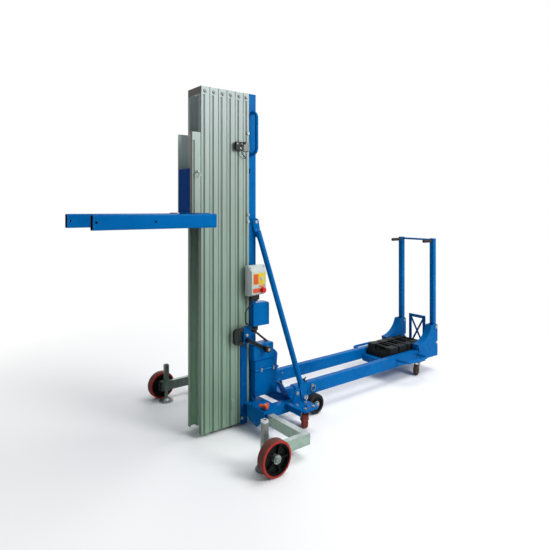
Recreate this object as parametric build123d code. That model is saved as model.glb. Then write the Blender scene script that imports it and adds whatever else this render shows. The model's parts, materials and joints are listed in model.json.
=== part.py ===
from build123d import *
import math
import os

# Glazing hoist: a counterbalanced telescopic mast lift on a base with two sliding outriggers
# and a ballasted chassis that plugs onto the base from behind.
# Millimetres. X runs rearward from the outrigger wheel axle, Y to the right-hand side as seen
# by the operator behind the push handle, Z up from the floor. Left is the -Y side.

os.makedirs("parts", exist_ok=True)

# Fits and clearances
slide_gap = 1.0        # each side, between sliding tubes
run_fit = 0.05         # radial, shafts and pins in their bores
turn_gap = 1.0         # beside turning parts
bolt_gap = 0.5         # radial, bolt in its hole

# Mast: six nested channel sections one behind the other
mast_stages = 6
mast_pitch = 58
mast_gap = 1.5
mast_front_x = -91
mast_half = 78
mast_bottom = 22
mast_length = 1985
fixed_depth = 42
flank_t = 6
web_t = 5
lip_t = 5
lip_reach = 26
hook_t = 6
hook_head = 5
hook_spread = 15
pad_l = 60
rest_t = 5
rest_reach = 12
groove_w = 14
groove_d = 3
groove_set = 12
groove_end = 47
cap_bar = 40
head_bolt_d = 10
head_bolt_drop = 26
sheave_w = 24
hex_af = 17
hex_h = 6
frame_bolt_drop = 242
lug_bolt_rise = 4
lug_bolt_gap = 41
foot_bolt_z = 51

# Column behind the mast
column_size = 80
column_wall = 5
column_over = 3
lug_t = 6
lug_z = 1226
lug_x = 311
lug_r = 24
grab_d = 20
grab_drop = 110
grab_l = 255
grab_x = 286
grab_out = 55
grab_bend = 38
rope_slot_drop = 469

# Outriggers
wheel_d = 180
wheel_w = 50
wheel_hub_d = 44
wheel_dish = 6
wheel_pocket = 14
wheel_rim = 6
wheel_ribs = 5
wheel_rib_t = 7
tread_t = 16
axle_d = 20
track_half = 639
arm_w = 40
arm_h = 60
front_arm_w = 30
arm_wall = 3
arm_bottom = 65
arm_x = 245
arm_inner = 200
arm_front = -25
plate_t = 6
socket_wall = 6
socket_outer = 289
jack_x = 0
jack_sleeve = 32
jack_sleeve_rise = 15
jack_bottom = 70
jack_leg_d = 22
jack_top = 250
jack_crown = 28
jack_crown_h = 108
jack_crown_wall = 4
jack_foot_d = 95
jack_foot_t = 8
jack_collar = 30
jack_cone_h = 12
jack_cone_d = 48
knob_x = 240
knob_y = 240
knob_r = 34
knob_lift = 14
knob_h = 13
screw_d = 12

# Base frame
deck_t = 8
deck_front = 202
deck_rear = 289
rail_in = 195
rail_w = 50
rail_h = 60
rail_wall = 4
cross_w = 50
base_rear = 520
corner_front = 389
corner_out = 408
corner_round = 24
skirt_h = 28
front_plate_rise = 10
front_plate_low = 40
gusset_w = 72
gusset_h = 85
slant_top = 246
slant_foot = 456
slant_run = 63

# Struts
strut_d = 34
strut_wall = 3
strut_tab = 75
strut_flat = 46
strut_foot_x = 502
strut_foot_z = 165
strut_plate_y = 280
strut_bolt_d = 12
strut_tab_t = 6
strut_head_af = 19
strut_head_h = 8
fin_front = 416
fin_crest_x = 446
fin_crest_z = 226
fin_step_x = 478
fin_step_z = 190

# Casters: swivel axis, wheel, angle that the wheel trails at
corner_axis = (455, 352)
corner_wheel_d = 100
corner_wheel_w = 34
corner_trail = 41
corner_pad = 104
rear_caster_set = 230
rear_wheel_d = 80
rear_wheel_w = 28
rear_trail = 30
rear_pad = 90
pad_t = 6
kingpin_d = 20
caster_axle_d = 10
trail_turn = {"corner_left": 56, "corner_right": 28, "rear_left": 200, "rear_right": 172}

# Chassis beams
beam_in = 129
beam_w = 50
beam_h = 80
beam_wall = 5
beam_bottom = 112
beam_front = 524
beam_rear = 2045
stub_front = 440
stub_end = 700
stub_wall = 5
fixed_wheel_x = 660
fixed_wheel_d = 125
fixed_wheel_w = 38
fixed_axle_d = 16
ring_pin_x = 668
ring_pin_z = 168
ring_pin_d = 12
loop_d = 20
loop_set = 265
loop_l = 245
loop_out = 96
loop_z = 165

# Ballast
weight_count = 4
weight_pitch = 102
weight_w = 98
weight_half = 118
weight_h = 90
weight_grip = 62
weight_pocket = 48
weight_draft = 10
tray_t = 6
tray_set = 60
tray_over = 45
weight_set = 51
cross_tube = 40
tray_top = 146

# Push handle and its gussets
gusset_t = 5
gusset_top = 369
gusset_toe = 261
gusset_toe_z = 238
gusset_crest = 83
gusset_heel = 217
post = 38
post_wall = 3
post_top = 1066
post_tail = 200
pivot_set = 25
pivot_z = 347
pivot_d = 16
latch_z = 218
latch_d = 12
latch_set = 8
bar_d = 16
grip_d = 25
grip_l = 110
grip_core_d = 16
rack_half = 80
rack_top = 416
rack_bar = 24
rack_t = 8

# Carriage and forks
carriage_depth = 64.5
carriage_drop = 266
carriage_l = 458
fork_tip = -743
fork_heel = -80
fork_in = 190
fork_w = 40
fork_h = 75
fork_hang = 3
fork_wall = 4
fork_round = 9
fork_pin_d = 12
fork_pins = (16, 310)
cross_depth = 60
panel_t = 8
panel_h = 252

# Battery box on the left of the column
box_front = 258
box_rear = 430
box_depth = 75
box_bottom = 172
box_seam = 330
box_top = 482
box_wall = 3
spine_t = 6
spine_rear = 486
spine_top = 470
spine_ear = 428
spine_hip = 380
cover_step_x = 398
cover_shoulder = 412
cover_neck = 440
cover_round = 8
cap_low = 388
cap_over = 5
cap_reach = 14
lip_over = 8
lip_h = 8
cell_h = 146
clip_w = 9
clip_t = 4
clip_drop = 13
clip_rise = 7
clip_hook = 4
clip_barrel = 8
clip_xs = (300, 392)

# Winch
motor_d = 54
motor_x = 276
motor_y = 76
motor_low = 566
motor_boss = 10
motor_high = 690
hood_front = 245
hood_rear = 378
hood_low = 594
hood_high = 733
hood_out = 110
hood_wall = 3
hood_round = 16
drum_x = 374
drum_z = 660
drum_core_d = 50
drum_flange_d = 82
drum_flange_t = 4
drum_shaft_d = 20
winch_half = 46
winch_plate = 6
winch_low = 608
winch_high = 708

# Control box, turned toward the operator
control_turn = 10
control_at = (195, -104)
control_w = 135
control_depth = 50
control_body = 28
control_low = 785
control_high = 966
control_draft = 12
control_crown = 34
control_chin = 11
stop_u = 95
stop_z = 816
stop_d = 32
stop_stem_d = 16
stop_reach = 22
stop_travel = 5
gland_us = (36, 88)
gland_d = 16
gland_l = 16
cable_d = 8
cable_bow_x = 188
cable_out = 120
lead_d = 9
lead_head = 8
lead_set = 22
lead_ys = (66, 86)

# Bracket, bridge handle and crank on the left of the mast foot
foot_front = 175
foot_rear = 222
foot_plate = 5
foot_top = 485
foot_floor = 8
bracket_low = 500
bracket_high = 597
bracket_front = 180
bracket_out = 104
bridge_reach = 66
bridge_t = 18
bridge_w = 22
bridge_flange = 24
crank_x = 206
crank_z = 520
crank_knob_x = 324
crank_knob_z = 455
crank_arm_y = 126
crank_t = 10
crank_w = 20
crank_shaft_d = 14
crank_knob_d = 40
crank_knob_l = 34
crank_pin_d = 10
switch_x = (128, 184)
switch_drop = 302
switch_h = 49
switch_t = 18
tail_d = 6
tail_set = 8
tail_x = 206
tail_drop = 44
tail_bend = 8

# Derived levels and stations
hole_w = arm_w + 2 * slide_gap
hole_h = arm_h + 2 * slide_gap
socket_w = hole_w + 2 * socket_wall
socket_h = hole_h + 2 * socket_wall
arm_top = arm_bottom + arm_h
arm_mid = arm_bottom + arm_h / 2
deck_low = arm_mid + socket_h / 2
deck_top = deck_low + deck_t
rail_low = deck_top - rail_h
pad_low = deck_low - pad_t
arm_outer = track_half - wheel_w / 2 - 3 - plate_t
axle_z = wheel_d / 2
mast_top = mast_bottom + mast_length
section_depth = mast_pitch - mast_gap
lip_edge = mast_half - lip_reach
mast_rear = mast_front_x + (mast_stages - 1) * mast_pitch + fixed_depth
column_front = mast_rear
column_rear = column_front + column_size
column_half = column_size / 2
foot_out = mast_half + slide_gap + foot_plate
beam_mid = beam_in + beam_w / 2
beam_out = beam_in + beam_w
beam_top = beam_bottom + beam_h
rear_axis = (beam_rear - rear_caster_set, beam_mid)
loop_rear = beam_rear - loop_set
loop_front = loop_rear - loop_l
gusset_toe_x = beam_rear - gusset_toe
gusset_crest_x = beam_rear - gusset_crest
gusset_heel_x = beam_rear - gusset_heel
pivot_x = beam_rear - pivot_set
tray_rear = beam_rear - tray_set
weight_front = tray_rear - weight_set - (weight_count - 1) * weight_pitch - weight_w
tray_front = weight_front - tray_over
rear_pad_low = beam_bottom - pad_t
box_in = column_half + 2
box_out = box_in + box_depth
column_top = mast_top + column_over
grab_high = column_top - grab_drop
grab_low = grab_high - grab_l
rope_slot_z = column_top - rope_slot_drop
switch_z = (mast_top - switch_drop - switch_h, mast_top - switch_drop)
carriage_top = mast_top - carriage_drop
carriage_bottom = carriage_top - carriage_l
panel_top = carriage_bottom + panel_h
fork_top = carriage_bottom - fork_hang
fork_bottom = fork_top - fork_h
carriage_rear = mast_front_x - mast_gap
carriage_front = carriage_rear - carriage_depth
middle_x = (fork_tip + beam_rear) / 2

LEFT, RIGHT = -1, 1
SIDES = {"left": LEFT, "right": RIGHT}


def save(name, *solids):
    """Writes one node with the origin under the middle of the whole hoist."""
    placed = [Pos(-middle_x, 0, 0) * s for s in solids]
    export_step(placed[0] if len(placed) == 1 else Compound(children=placed), f"parts/{name}.step")


def block(x, y, z):
    """Box between pairs of stations."""
    return Pos((x[0] + x[1]) / 2, (y[0] + y[1]) / 2, (z[0] + z[1]) / 2) * Box(
        abs(x[1] - x[0]), abs(y[1] - y[0]), abs(z[1] - z[0]))


def across(side, near, far):
    """Pair of Y stations on one side of the centre plane."""
    return tuple(sorted((side * near, side * far)))


def rod_x(d, x0, x1, y, z):
    return Pos((x0 + x1) / 2, y, z) * Rot(0, 90, 0) * Cylinder(d / 2, abs(x1 - x0))


def rod_y(d, x, y0, y1, z):
    return Pos(x, (y0 + y1) / 2, z) * Rot(90, 0, 0) * Cylinder(d / 2, abs(y1 - y0))


def rod_z(d, x, y, z0, z1):
    return Pos(x, y, (z0 + z1) / 2) * Cylinder(d / 2, abs(z1 - z0))


def plate_xz(points, y0, y1):
    """Flat plate with an outline in X and Z, between two Y stations."""
    low, high = sorted((y0, y1))
    face = make_face(Polyline(*points, close=True))
    return Pos(0, high, 0) * Rot(90, 0, 0) * extrude(face, high - low)


def plate_yz(points, x0, x1):
    """Flat plate with an outline in Y and Z, between two X stations."""
    face = make_face(Polyline(*points, close=True))
    return Pos(x0, 0, 0) * extrude(Plane.YZ * face, x1 - x0)


def rect(x0, x1, y0, y1):
    return Pos((x0 + x1) / 2, (y0 + y1) / 2) * Rectangle(abs(x1 - x0), abs(y1 - y0))


def bent_rod(d, points, radii):
    """Round bar or cord along straight runs joined by tangent bends."""
    path = FilletPolyline(*points, radius=radii)
    return sweep(Plane(path @ 0, z_dir=path % 0) * Circle(d / 2), path=path)


def hex_y(x, y0, y1, z, af=hex_af):
    """Hexagon head or nut on a Y axis."""
    low, high = sorted((y0, y1))
    head = RegularPolygon(af / 2, 6, major_radius=False)
    return Pos(x, high, z) * Rot(90, 0, 0) * extrude(head, high - low)


def hex_z(x, y, z0, z1, af=hex_af):
    return Pos(x, y, z0) * extrude(RegularPolygon(af / 2, 6, major_radius=False), z1 - z0)


def channel(front, depth, bottom, height, lips=True, hooks=True):
    """Mast extrusion: two flanks, a web at the back, lips at the front, padded hooks behind the web."""
    rear = front + depth
    inner = mast_half - flank_t
    shape = rect(front, rear, -mast_half, mast_half)
    shape = fillet(shape.vertices(), 2)
    mouth = lip_edge if lips else inner
    shape -= rect(front - 1, rear - web_t, -mouth, mouth)
    shape -= rect(front + (lip_t if lips else -1), rear - web_t, -inner, inner)
    if hooks:
        stem_out = lip_edge - slide_gap
        stem_end = rear + mast_gap + lip_t + slide_gap
        for s in (LEFT, RIGHT):
            shape += rect(rear, stem_end, s * (stem_out - hook_t), s * stem_out)
            shape += rect(stem_end, stem_end + hook_head, s * (stem_out - hook_t),
                          s * (stem_out + hook_spread))
    solid = Pos(0, 0, bottom) * extrude(shape, height)
    if hooks:
        for s in (LEFT, RIGHT):
            for z in (bottom, bottom + height - pad_l):
                solid += block((stem_end - slide_gap, stem_end),
                               across(s, lip_edge + 1, lip_edge + hook_spread - 2),
                               (z, z + pad_l))
    for s in (LEFT, RIGHT):
        groove = across(s, mast_half - groove_d, mast_half + 1)
        solid -= block((front + groove_set, front + groove_set + groove_w), groove,
                       (bottom - 1, bottom + height - groove_end))
    return solid


# Mast sections, numbered from the fixed one at the back
for number in range(1, mast_stages + 1):
    front = mast_front_x + (mast_stages - number) * mast_pitch
    depth = fixed_depth if number == 1 else section_depth
    solid = channel(front, depth, mast_bottom, mast_length, hooks=number > 1)
    bolt_x = front + depth / 2
    bolt_z = mast_top - head_bolt_drop
    solid -= rod_y(head_bolt_d + 2 * bolt_gap, bolt_x, -mast_half - 1, mast_half + 1, bolt_z)
    if 1 < number < mast_stages:
        for s in (LEFT, RIGHT):
            solid += block((front - rest_reach, front + lip_t), across(s, lip_edge + 4, mast_half - 3),
                           (mast_bottom - rest_t, mast_bottom))
    if number == mast_stages:
        solid += block((front, front + lip_t), (-lip_edge, lip_edge), (mast_top - cap_bar, mast_top))
    bolt = rod_y(head_bolt_d, bolt_x, -mast_half, mast_half + hex_h, bolt_z)
    bolt += hex_y(bolt_x, -mast_half - hex_h, -mast_half, bolt_z)
    bolt += hex_y(bolt_x, mast_half, mast_half + hex_h, bolt_z)
    sheave_r = depth / 2 - web_t - 1.5
    sheave = rod_y(2 * sheave_r, bolt_x, -sheave_w / 2, sheave_w / 2, bolt_z)
    rim = Pos(bolt_x, 0, bolt_z) * Rot(90, 0, 0) * Torus(sheave_r, 4)
    sheave -= rim
    sheave -= rod_y(head_bolt_d + 2 * run_fit, bolt_x, -sheave_w, sheave_w, bolt_z)
    save(f"mast_section_{number}", solid, bolt, sheave)

# Column with strut lugs and the shelf that carries the battery box
column = block((column_front, column_rear), (-column_half, column_half), (deck_top, column_top))
column = fillet(column.edges().filter_by(Axis.Z), 6)
column -= block((column_front + column_wall, column_rear - column_wall),
                (-column_half + column_wall, column_half - column_wall),
                (deck_top - 1, column_top - column_wall))
for s in (LEFT, RIGHT):
    lug = block((column_front + column_size / 2, lug_x), across(s, column_half, column_half + lug_t),
                (lug_z - lug_r, lug_z + lug_r))
    lug += rod_y(2 * lug_r, lug_x, s * column_half, s * (column_half + lug_t), lug_z)
    lug -= rod_y(strut_bolt_d + 2 * bolt_gap, lug_x, s * (column_half - 1), s * (column_half + lug_t + 1),
                 lug_z)
    column += lug
column -= block((column_front + 24, column_front + 34), (-column_half - 1, -column_half + column_wall + 1),
                (rope_slot_z - 15, rope_slot_z + 15))
column += block((column_front + 20, box_rear - 4), (-box_out + 4, -column_half),
                (box_bottom - 6, box_bottom))
save("column", column)

grabs = []
for s in (LEFT, RIGHT):
    wall_y = s * column_half
    out_y = s * (column_half + grab_out)
    grabs.append(bent_rod(grab_d, [(grab_x, wall_y, grab_low), (grab_x, out_y, grab_low),
                                   (grab_x, out_y, grab_high), (grab_x, wall_y, grab_high)], grab_bend))
save("column_handles", *grabs)

# Foot channel around the lower mast, and the bracket above it for the bridge handle and the crank
foot = block((foot_front, foot_rear), (-foot_out, foot_out), (mast_bottom - foot_floor, mast_bottom))
for s in (LEFT, RIGHT):
    foot += block((foot_front, foot_rear), across(s, mast_half + slide_gap, foot_out),
                  (mast_bottom - foot_floor, foot_top))
    foot += block((mast_rear - fixed_depth + 8, foot_rear), across(s, mast_half, mast_half + slide_gap),
                  (mast_bottom, foot_top))
bracket = block((mast_rear - 34, mast_rear), across(LEFT, mast_half, mast_half + 6),
                (bracket_low, bracket_high))
bracket += block((mast_rear - 6, mast_rear), across(LEFT, mast_half, bracket_out),
                 (bracket_low, bracket_high))
bracket += block((bracket_front, mast_rear), across(LEFT, bracket_out - 6, bracket_out),
                 (bracket_low, bracket_high))
bracket += block((bracket_front - 6, bracket_front),
                 across(LEFT, bracket_out - 6, bracket_out + bridge_flange - 6),
                 (bracket_low, bracket_high))
bracket -= rod_y(crank_shaft_d + 2 * run_fit, crank_x, -bracket_out - 1, -bracket_out + 7, crank_z)
save("mast_foot_channel", foot, bracket)

bridge_x = bracket_front - 6
bridge = rect(bridge_x - bridge_reach, bridge_x, bracket_low, bracket_high)
bridge = fillet(bridge.vertices().sort_by(Axis.X)[:2], 26)
hollow = rect(bridge_x - bridge_reach + bridge_t, bridge_x + 1, bracket_low + bridge_t,
              bracket_high - bridge_t)
hollow = fillet(hollow.vertices().sort_by(Axis.X)[:2], 12)
bridge_y = -bracket_out + 6 - bridge_flange / 2
bridge = Pos(0, bridge_y + bridge_w / 2, 0) * Rot(90, 0, 0) * extrude(bridge - hollow, bridge_w)
save("bridge_handle", bridge)

# Crank: flat arm on a shaft in the bracket, with a turning knob
crank_out = crank_arm_y + crank_t
run = math.hypot(crank_knob_x - crank_x, crank_knob_z - crank_z)
tilt = math.degrees(math.atan2(crank_knob_z - crank_z, crank_knob_x - crank_x))
arm = Pos(crank_x, -crank_arm_y, crank_z) * Rot(90, 0, 0) * Rot(0, 0, tilt) * extrude(
    Pos(run / 2, 0) * SlotCenterToCenter(run, crank_w), crank_t)
arm += rod_y(crank_shaft_d + 12, crank_x, -bracket_out - turn_gap, -crank_arm_y, crank_z)
arm += rod_y(crank_shaft_d, crank_x, -bracket_out + 6, -crank_arm_y, crank_z)
arm += rod_y(crank_pin_d, crank_knob_x, -crank_out, -crank_out - crank_knob_l + 6, crank_knob_z)
save("crank_arm", arm)
knob = rod_y(crank_knob_d, crank_knob_x, -crank_out - turn_gap, -crank_out - crank_knob_l, crank_knob_z)
knob = fillet(knob.edges().filter_by(GeomType.CIRCLE), 5)
knob -= rod_y(crank_pin_d + 2 * run_fit, crank_knob_x, -crank_out, -crank_out - crank_knob_l + 5,
              crank_knob_z)
save("crank_knob", knob)

# Limit switch on a strap from the fixed section, and its short cable into that section
strap = block((mast_rear - 34, mast_rear - 4), across(LEFT, mast_half, mast_half + 7), switch_z)
strap += block((switch_x[0] + 8, mast_rear - 4), across(LEFT, mast_half + 7, mast_half + 10), switch_z)
switch = block(switch_x, across(LEFT, mast_half + 10, mast_half + 10 + switch_t), switch_z)
switch = fillet(switch.edges().filter_by(Axis.Y), 4)
tail_y = -mast_half - 10 - switch_t / 2
tail_from = switch_x[1] - tail_set
tail_low = switch_z[0] - tail_drop
tail = bent_rod(tail_d, [(tail_from, tail_y, switch_z[0] - 0.1), (tail_from, tail_y, switch_z[0] - 20),
                         (tail_x, tail_y, tail_low), (tail_x, -mast_half - 0.1, tail_low)], tail_bend)
save("limit_switch", strap, switch, tail)

# Carriage and fork frame
carriage = channel(carriage_front, carriage_depth, carriage_bottom, carriage_top - carriage_bottom,
                   lips=False)
save("carriage", carriage)

cross_front = carriage_rear - 4 - cross_depth
frame = block((cross_front, cross_front + cross_depth), (-fork_in, fork_in), (fork_bottom, fork_top))
frame = fillet(frame.edges().filter_by(Axis.Y), 6)
frame -= block((cross_front + fork_wall, cross_front + cross_depth - fork_wall),
               (-fork_in - 1, fork_in + 1),
               (fork_bottom + fork_wall, fork_top - fork_wall))
cheek_y = mast_half - flank_t
panel = block((carriage_front + 4, carriage_front + 4 + panel_t), (-cheek_y, cheek_y),
              (carriage_bottom, panel_top))
for s in (LEFT, RIGHT):
    panel += block((carriage_front + 4, carriage_rear - web_t - 4), across(s, cheek_y - 5, cheek_y),
                   (carriage_bottom, panel_top))
    panel += block((carriage_front + 8, carriage_rear - web_t - 8), across(s, cheek_y - 25, cheek_y - 5),
                   (fork_top, carriage_bottom + 12))
save("fork_frame", frame + panel)

forks = []
for s in (LEFT, RIGHT):
    section = RectangleRounded(fork_w, fork_h, fork_round)
    section -= RectangleRounded(fork_w - 2 * fork_wall, fork_h - 2 * fork_wall, fork_round - fork_wall)
    section = Pos(s * (fork_in + fork_w / 2), fork_bottom + fork_h / 2) * section
    fork = Pos(fork_tip, 0, 0) * extrude(Plane.YZ * section, fork_heel - fork_tip)
    for back in fork_pins:
        fork -= rod_y(fork_pin_d, fork_tip + back, s * (fork_in - 1), s * (fork_in + fork_w + 1),
                      fork_bottom + fork_h / 2)
    forks.append(fork)
save("forks", *forks)


def caster_yoke(axis, side, pad_z, wheel, width, trail, turn):
    """Swivel yoke: kingpin, crown and two cheeks that hold the wheel behind the swivel axis."""
    cheek = width / 2 + turn_gap
    crown_r = width / 2 + 12
    top = pad_z - turn_gap
    yoke = rod_z(kingpin_d, 0, 0, top - 14, pad_z + pad_t + 2)
    yoke += rod_z(2 * crown_r, 0, 0, top - 12, top)
    for s in (LEFT, RIGHT):
        outline = [(-crown_r * 0.6, top - 12), (crown_r * 0.8, top - 12), (trail + 11, wheel / 2),
                   (trail, wheel / 2 - 12), (trail - 12, wheel / 2)]
        yoke += plate_xz(outline, s * cheek, s * (cheek + 4))
    if top - 12 > wheel + 2:
        yoke += block((-crown_r * 0.6, crown_r * 0.8), (-cheek - 4, cheek + 4), (top - 16, top - 12))
    yoke += rod_y(caster_axle_d, trail, -cheek - 8, cheek + 8, wheel / 2)
    yoke += hex_y(trail, -cheek - 8, -cheek - 4, wheel / 2, 16)
    yoke += hex_y(trail, cheek + 4, cheek + 8, wheel / 2, 16)
    return Pos(axis[0], side * axis[1], 0) * Rot(0, 0, turn) * yoke


def wheel_y(d, w, bore, hub_d, dish):
    """Wheel on a Y axis through the origin: rounded tread, dished sides, hub."""
    wheel = Rot(90, 0, 0) * Cylinder(d / 2, w)
    wheel = fillet(wheel.edges().filter_by(GeomType.CIRCLE), w * 0.14)
    for s in (LEFT, RIGHT):
        ring = rod_y(d - 2 * dish, 0, s * w * 0.30, s * (w / 2 + 1), 0)
        wheel -= ring - rod_y(hub_d, 0, s * w * 0.2, s * w, 0)
    return wheel - rod_y(bore, 0, -w, w, 0)


for name, s in SIDES.items():
    turn = trail_turn[f"corner_{name}"]
    save(f"corner_caster_{name}", caster_yoke(corner_axis, s, pad_low, corner_wheel_d, corner_wheel_w,
                                              corner_trail, turn))
    wheel = wheel_y(corner_wheel_d, corner_wheel_w, caster_axle_d + 2 * run_fit, 30, 14)
    save(f"corner_wheel_{name}", Pos(corner_axis[0], s * corner_axis[1], 0) * Rot(0, 0, turn)
         * Pos(corner_trail, 0, corner_wheel_d / 2) * wheel)
    turn = trail_turn[f"rear_{name}"]
    save(f"rear_caster_{name}", caster_yoke(rear_axis, s, rear_pad_low, rear_wheel_d, rear_wheel_w,
                                            rear_trail, turn))
    wheel = wheel_y(rear_wheel_d, rear_wheel_w, caster_axle_d + 2 * run_fit, 26, 12)
    save(f"rear_wheel_{name}", Pos(rear_axis[0], s * rear_axis[1], 0) * Rot(0, 0, turn)
         * Pos(rear_trail, 0, rear_wheel_d / 2) * wheel)

# Base frame
socket_x = (arm_x - socket_w / 2, arm_x + socket_w / 2)
hole_x = (arm_x - hole_w / 2, arm_x + hole_w / 2)
stub_side = beam_w / 2 - beam_wall - slide_gap
stub_z = (beam_bottom + beam_wall + slide_gap, beam_top - beam_wall - slide_gap)
base = block((column_front, deck_rear + 42), (-rail_in, rail_in), (deck_low, deck_top))
base -= block((column_front - 1, deck_rear), (foot_out + 6, rail_in + 1), (deck_low - 1, deck_top + 1))
base -= block((column_front - 1, deck_rear), (-rail_in - 1, -foot_out - 6), (deck_low - 1, deck_top + 1))
base += block((deck_rear - 12, deck_rear + 38), (-rail_in, rail_in), (rail_low, deck_low))
base += block((base_rear - cross_w, base_rear), (-rail_in, rail_in), (rail_low, deck_top))
for s in (LEFT, RIGHT):
    base += block(socket_x, across(s, foot_out + 6, socket_outer), (arm_mid - socket_h / 2, deck_low))
    base += block((deck_front, deck_rear), across(s, foot_out, socket_outer), (deck_low, deck_top))
    nose = [(s * (foot_out + 34), deck_top + front_plate_rise),
            (s * socket_outer, deck_top + front_plate_rise),
            (s * socket_outer, deck_top - 40), (s * (socket_outer - 72), front_plate_low),
            (s * (socket_outer - 143), front_plate_low + 16), (s * (foot_out + 34), deck_top - 55)]
    base += plate_yz(nose, deck_front - plate_t, deck_front)
    base += block((deck_front - plate_t, socket_x[0]), across(s, socket_outer - 140, socket_outer - 100),
                  (arm_mid, deck_low))
    rail = block((socket_x[1], base_rear), across(s, rail_in, rail_in + rail_w), (rail_low, deck_top))
    rail -= block((socket_x[1] + rail_wall, base_rear + 1),
                  across(s, rail_in + rail_wall, rail_in + rail_w - rail_wall),
                  (rail_low + rail_wall, deck_top - rail_wall))
    base += rail
    corner = block((corner_front, base_rear), across(s, rail_in + rail_w, corner_out), (deck_low, deck_top))
    uprights = corner.edges().filter_by(Axis.Z)
    corner = fillet(uprights.filter_by(lambda e: abs(e.center().Y) > corner_out - 1), corner_round)
    base += corner
    base += block((corner_front, corner_front + plate_t),
                  across(s, rail_in + rail_w, corner_out - corner_round), (deck_low - skirt_h, deck_low))
    base += block((corner_axis[0] - corner_pad / 2, corner_axis[0] + corner_pad / 2),
                  across(s, corner_axis[1] - corner_pad / 2, corner_axis[1] + corner_pad / 2),
                  (pad_low, deck_low))
    fin = [(fin_front, deck_top), (fin_front + 12, fin_crest_z - 12), (fin_crest_x, fin_crest_z),
           (fin_crest_x + 18, fin_crest_z - 14), (fin_step_x, fin_step_z), (base_rear, fin_step_z - 4),
           (base_rear, deck_top)]
    base += plate_xz(fin, s * strut_plate_y, s * (strut_plate_y + plate_t))
    base += plate_yz([(s * column_half, deck_top), (s * (column_half + gusset_w), deck_top),
                      (s * (column_half + gusset_w), deck_top + 14),
                      (s * (column_half + 14), deck_top + gusset_h),
                      (s * column_half, deck_top + gusset_h)], mast_rear + 8, mast_rear + 8 + plate_t)
    slant = [(slant_foot, deck_top - 1), (slant_foot - slant_run, slant_top),
             (slant_foot - slant_run - plate_t, slant_top), (slant_foot - plate_t - 1, deck_top - 1)]
    base += plate_xz(slant, s * (rail_in - 45), s * (rail_in + 22))
    base += block((stub_front, stub_end), across(s, beam_mid - stub_side, beam_mid + stub_side), stub_z)
for s in (LEFT, RIGHT):
    bore_y = across(s, foot_out, socket_outer + 1)
    base -= block(hole_x, bore_y, (arm_mid - hole_h / 2, arm_mid + hole_h / 2))
    base -= block((base_rear, stub_end + 1), across(s, beam_mid - stub_side + stub_wall,
                                                    beam_mid + stub_side - stub_wall),
                  (stub_z[0] + stub_wall, stub_z[1] - stub_wall))
    base -= rod_z(screw_d + 2 * run_fit, knob_x, s * knob_y, arm_top, deck_top + 1)
    base -= rod_z(kingpin_d + 2 * run_fit, corner_axis[0], s * corner_axis[1], pad_low - 1, deck_top + 1)
    base -= rod_y(ring_pin_d + 2 * run_fit, ring_pin_x, s * beam_in, s * beam_out, ring_pin_z)
    base -= rod_y(strut_bolt_d + 2 * bolt_gap, strut_foot_x, s * (strut_plate_y - 1),
                  s * (strut_plate_y + plate_t + 1), strut_foot_z)
save("base_frame", base)

# Struts: round tube with a flattened tab at each end
struts = []
fasteners = []
for s in (LEFT, RIGHT):
    tab_top_y = s * (column_half + lug_t)
    tab_foot_y = s * (strut_plate_y + plate_t)
    head = Vector(lug_x, tab_top_y + s * strut_tab_t / 2, lug_z)
    foot_at = Vector(strut_foot_x, tab_foot_y + s * strut_tab_t / 2, strut_foot_z)
    line = foot_at - head
    unit = line.normalized()
    start = head + unit * (strut_tab - 15)
    length = line.length - 2 * (strut_tab - 15)
    tube_plane = Plane(start, z_dir=unit)
    strut = tube_plane * extrude(Circle(strut_d / 2) - Circle(strut_d / 2 - strut_wall), length)
    lean = math.degrees(math.atan2(line.Z, line.X))
    for spot, y0, way in ((head, tab_top_y, lean), (foot_at, tab_foot_y, lean + 180)):
        low = min(y0, y0 + s * strut_tab_t)
        tab = Pos(strut_tab / 2, 0) * SlotCenterToCenter(strut_tab, strut_flat)
        strut += Pos(spot.X, low + strut_tab_t, spot.Z) * Rot(90, 0, 0) * Rot(0, 0, way) * extrude(
            tab, strut_tab_t)
        strut -= rod_y(strut_bolt_d + 2 * bolt_gap, spot.X, low - 1, low + strut_tab_t + 1, spot.Z)
    struts.append(strut)
    for spot, back, front_y in ((head, s * column_half, tab_top_y),
                                (foot_at, s * strut_plate_y, tab_foot_y)):
        face = front_y + s * strut_tab_t
        bolt = rod_y(strut_bolt_d, spot.X, back, face, spot.Z)
        bolt += hex_y(spot.X, face, face + s * strut_head_h, spot.Z, strut_head_af)
        fasteners.append(bolt)
save("struts", *struts)

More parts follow.
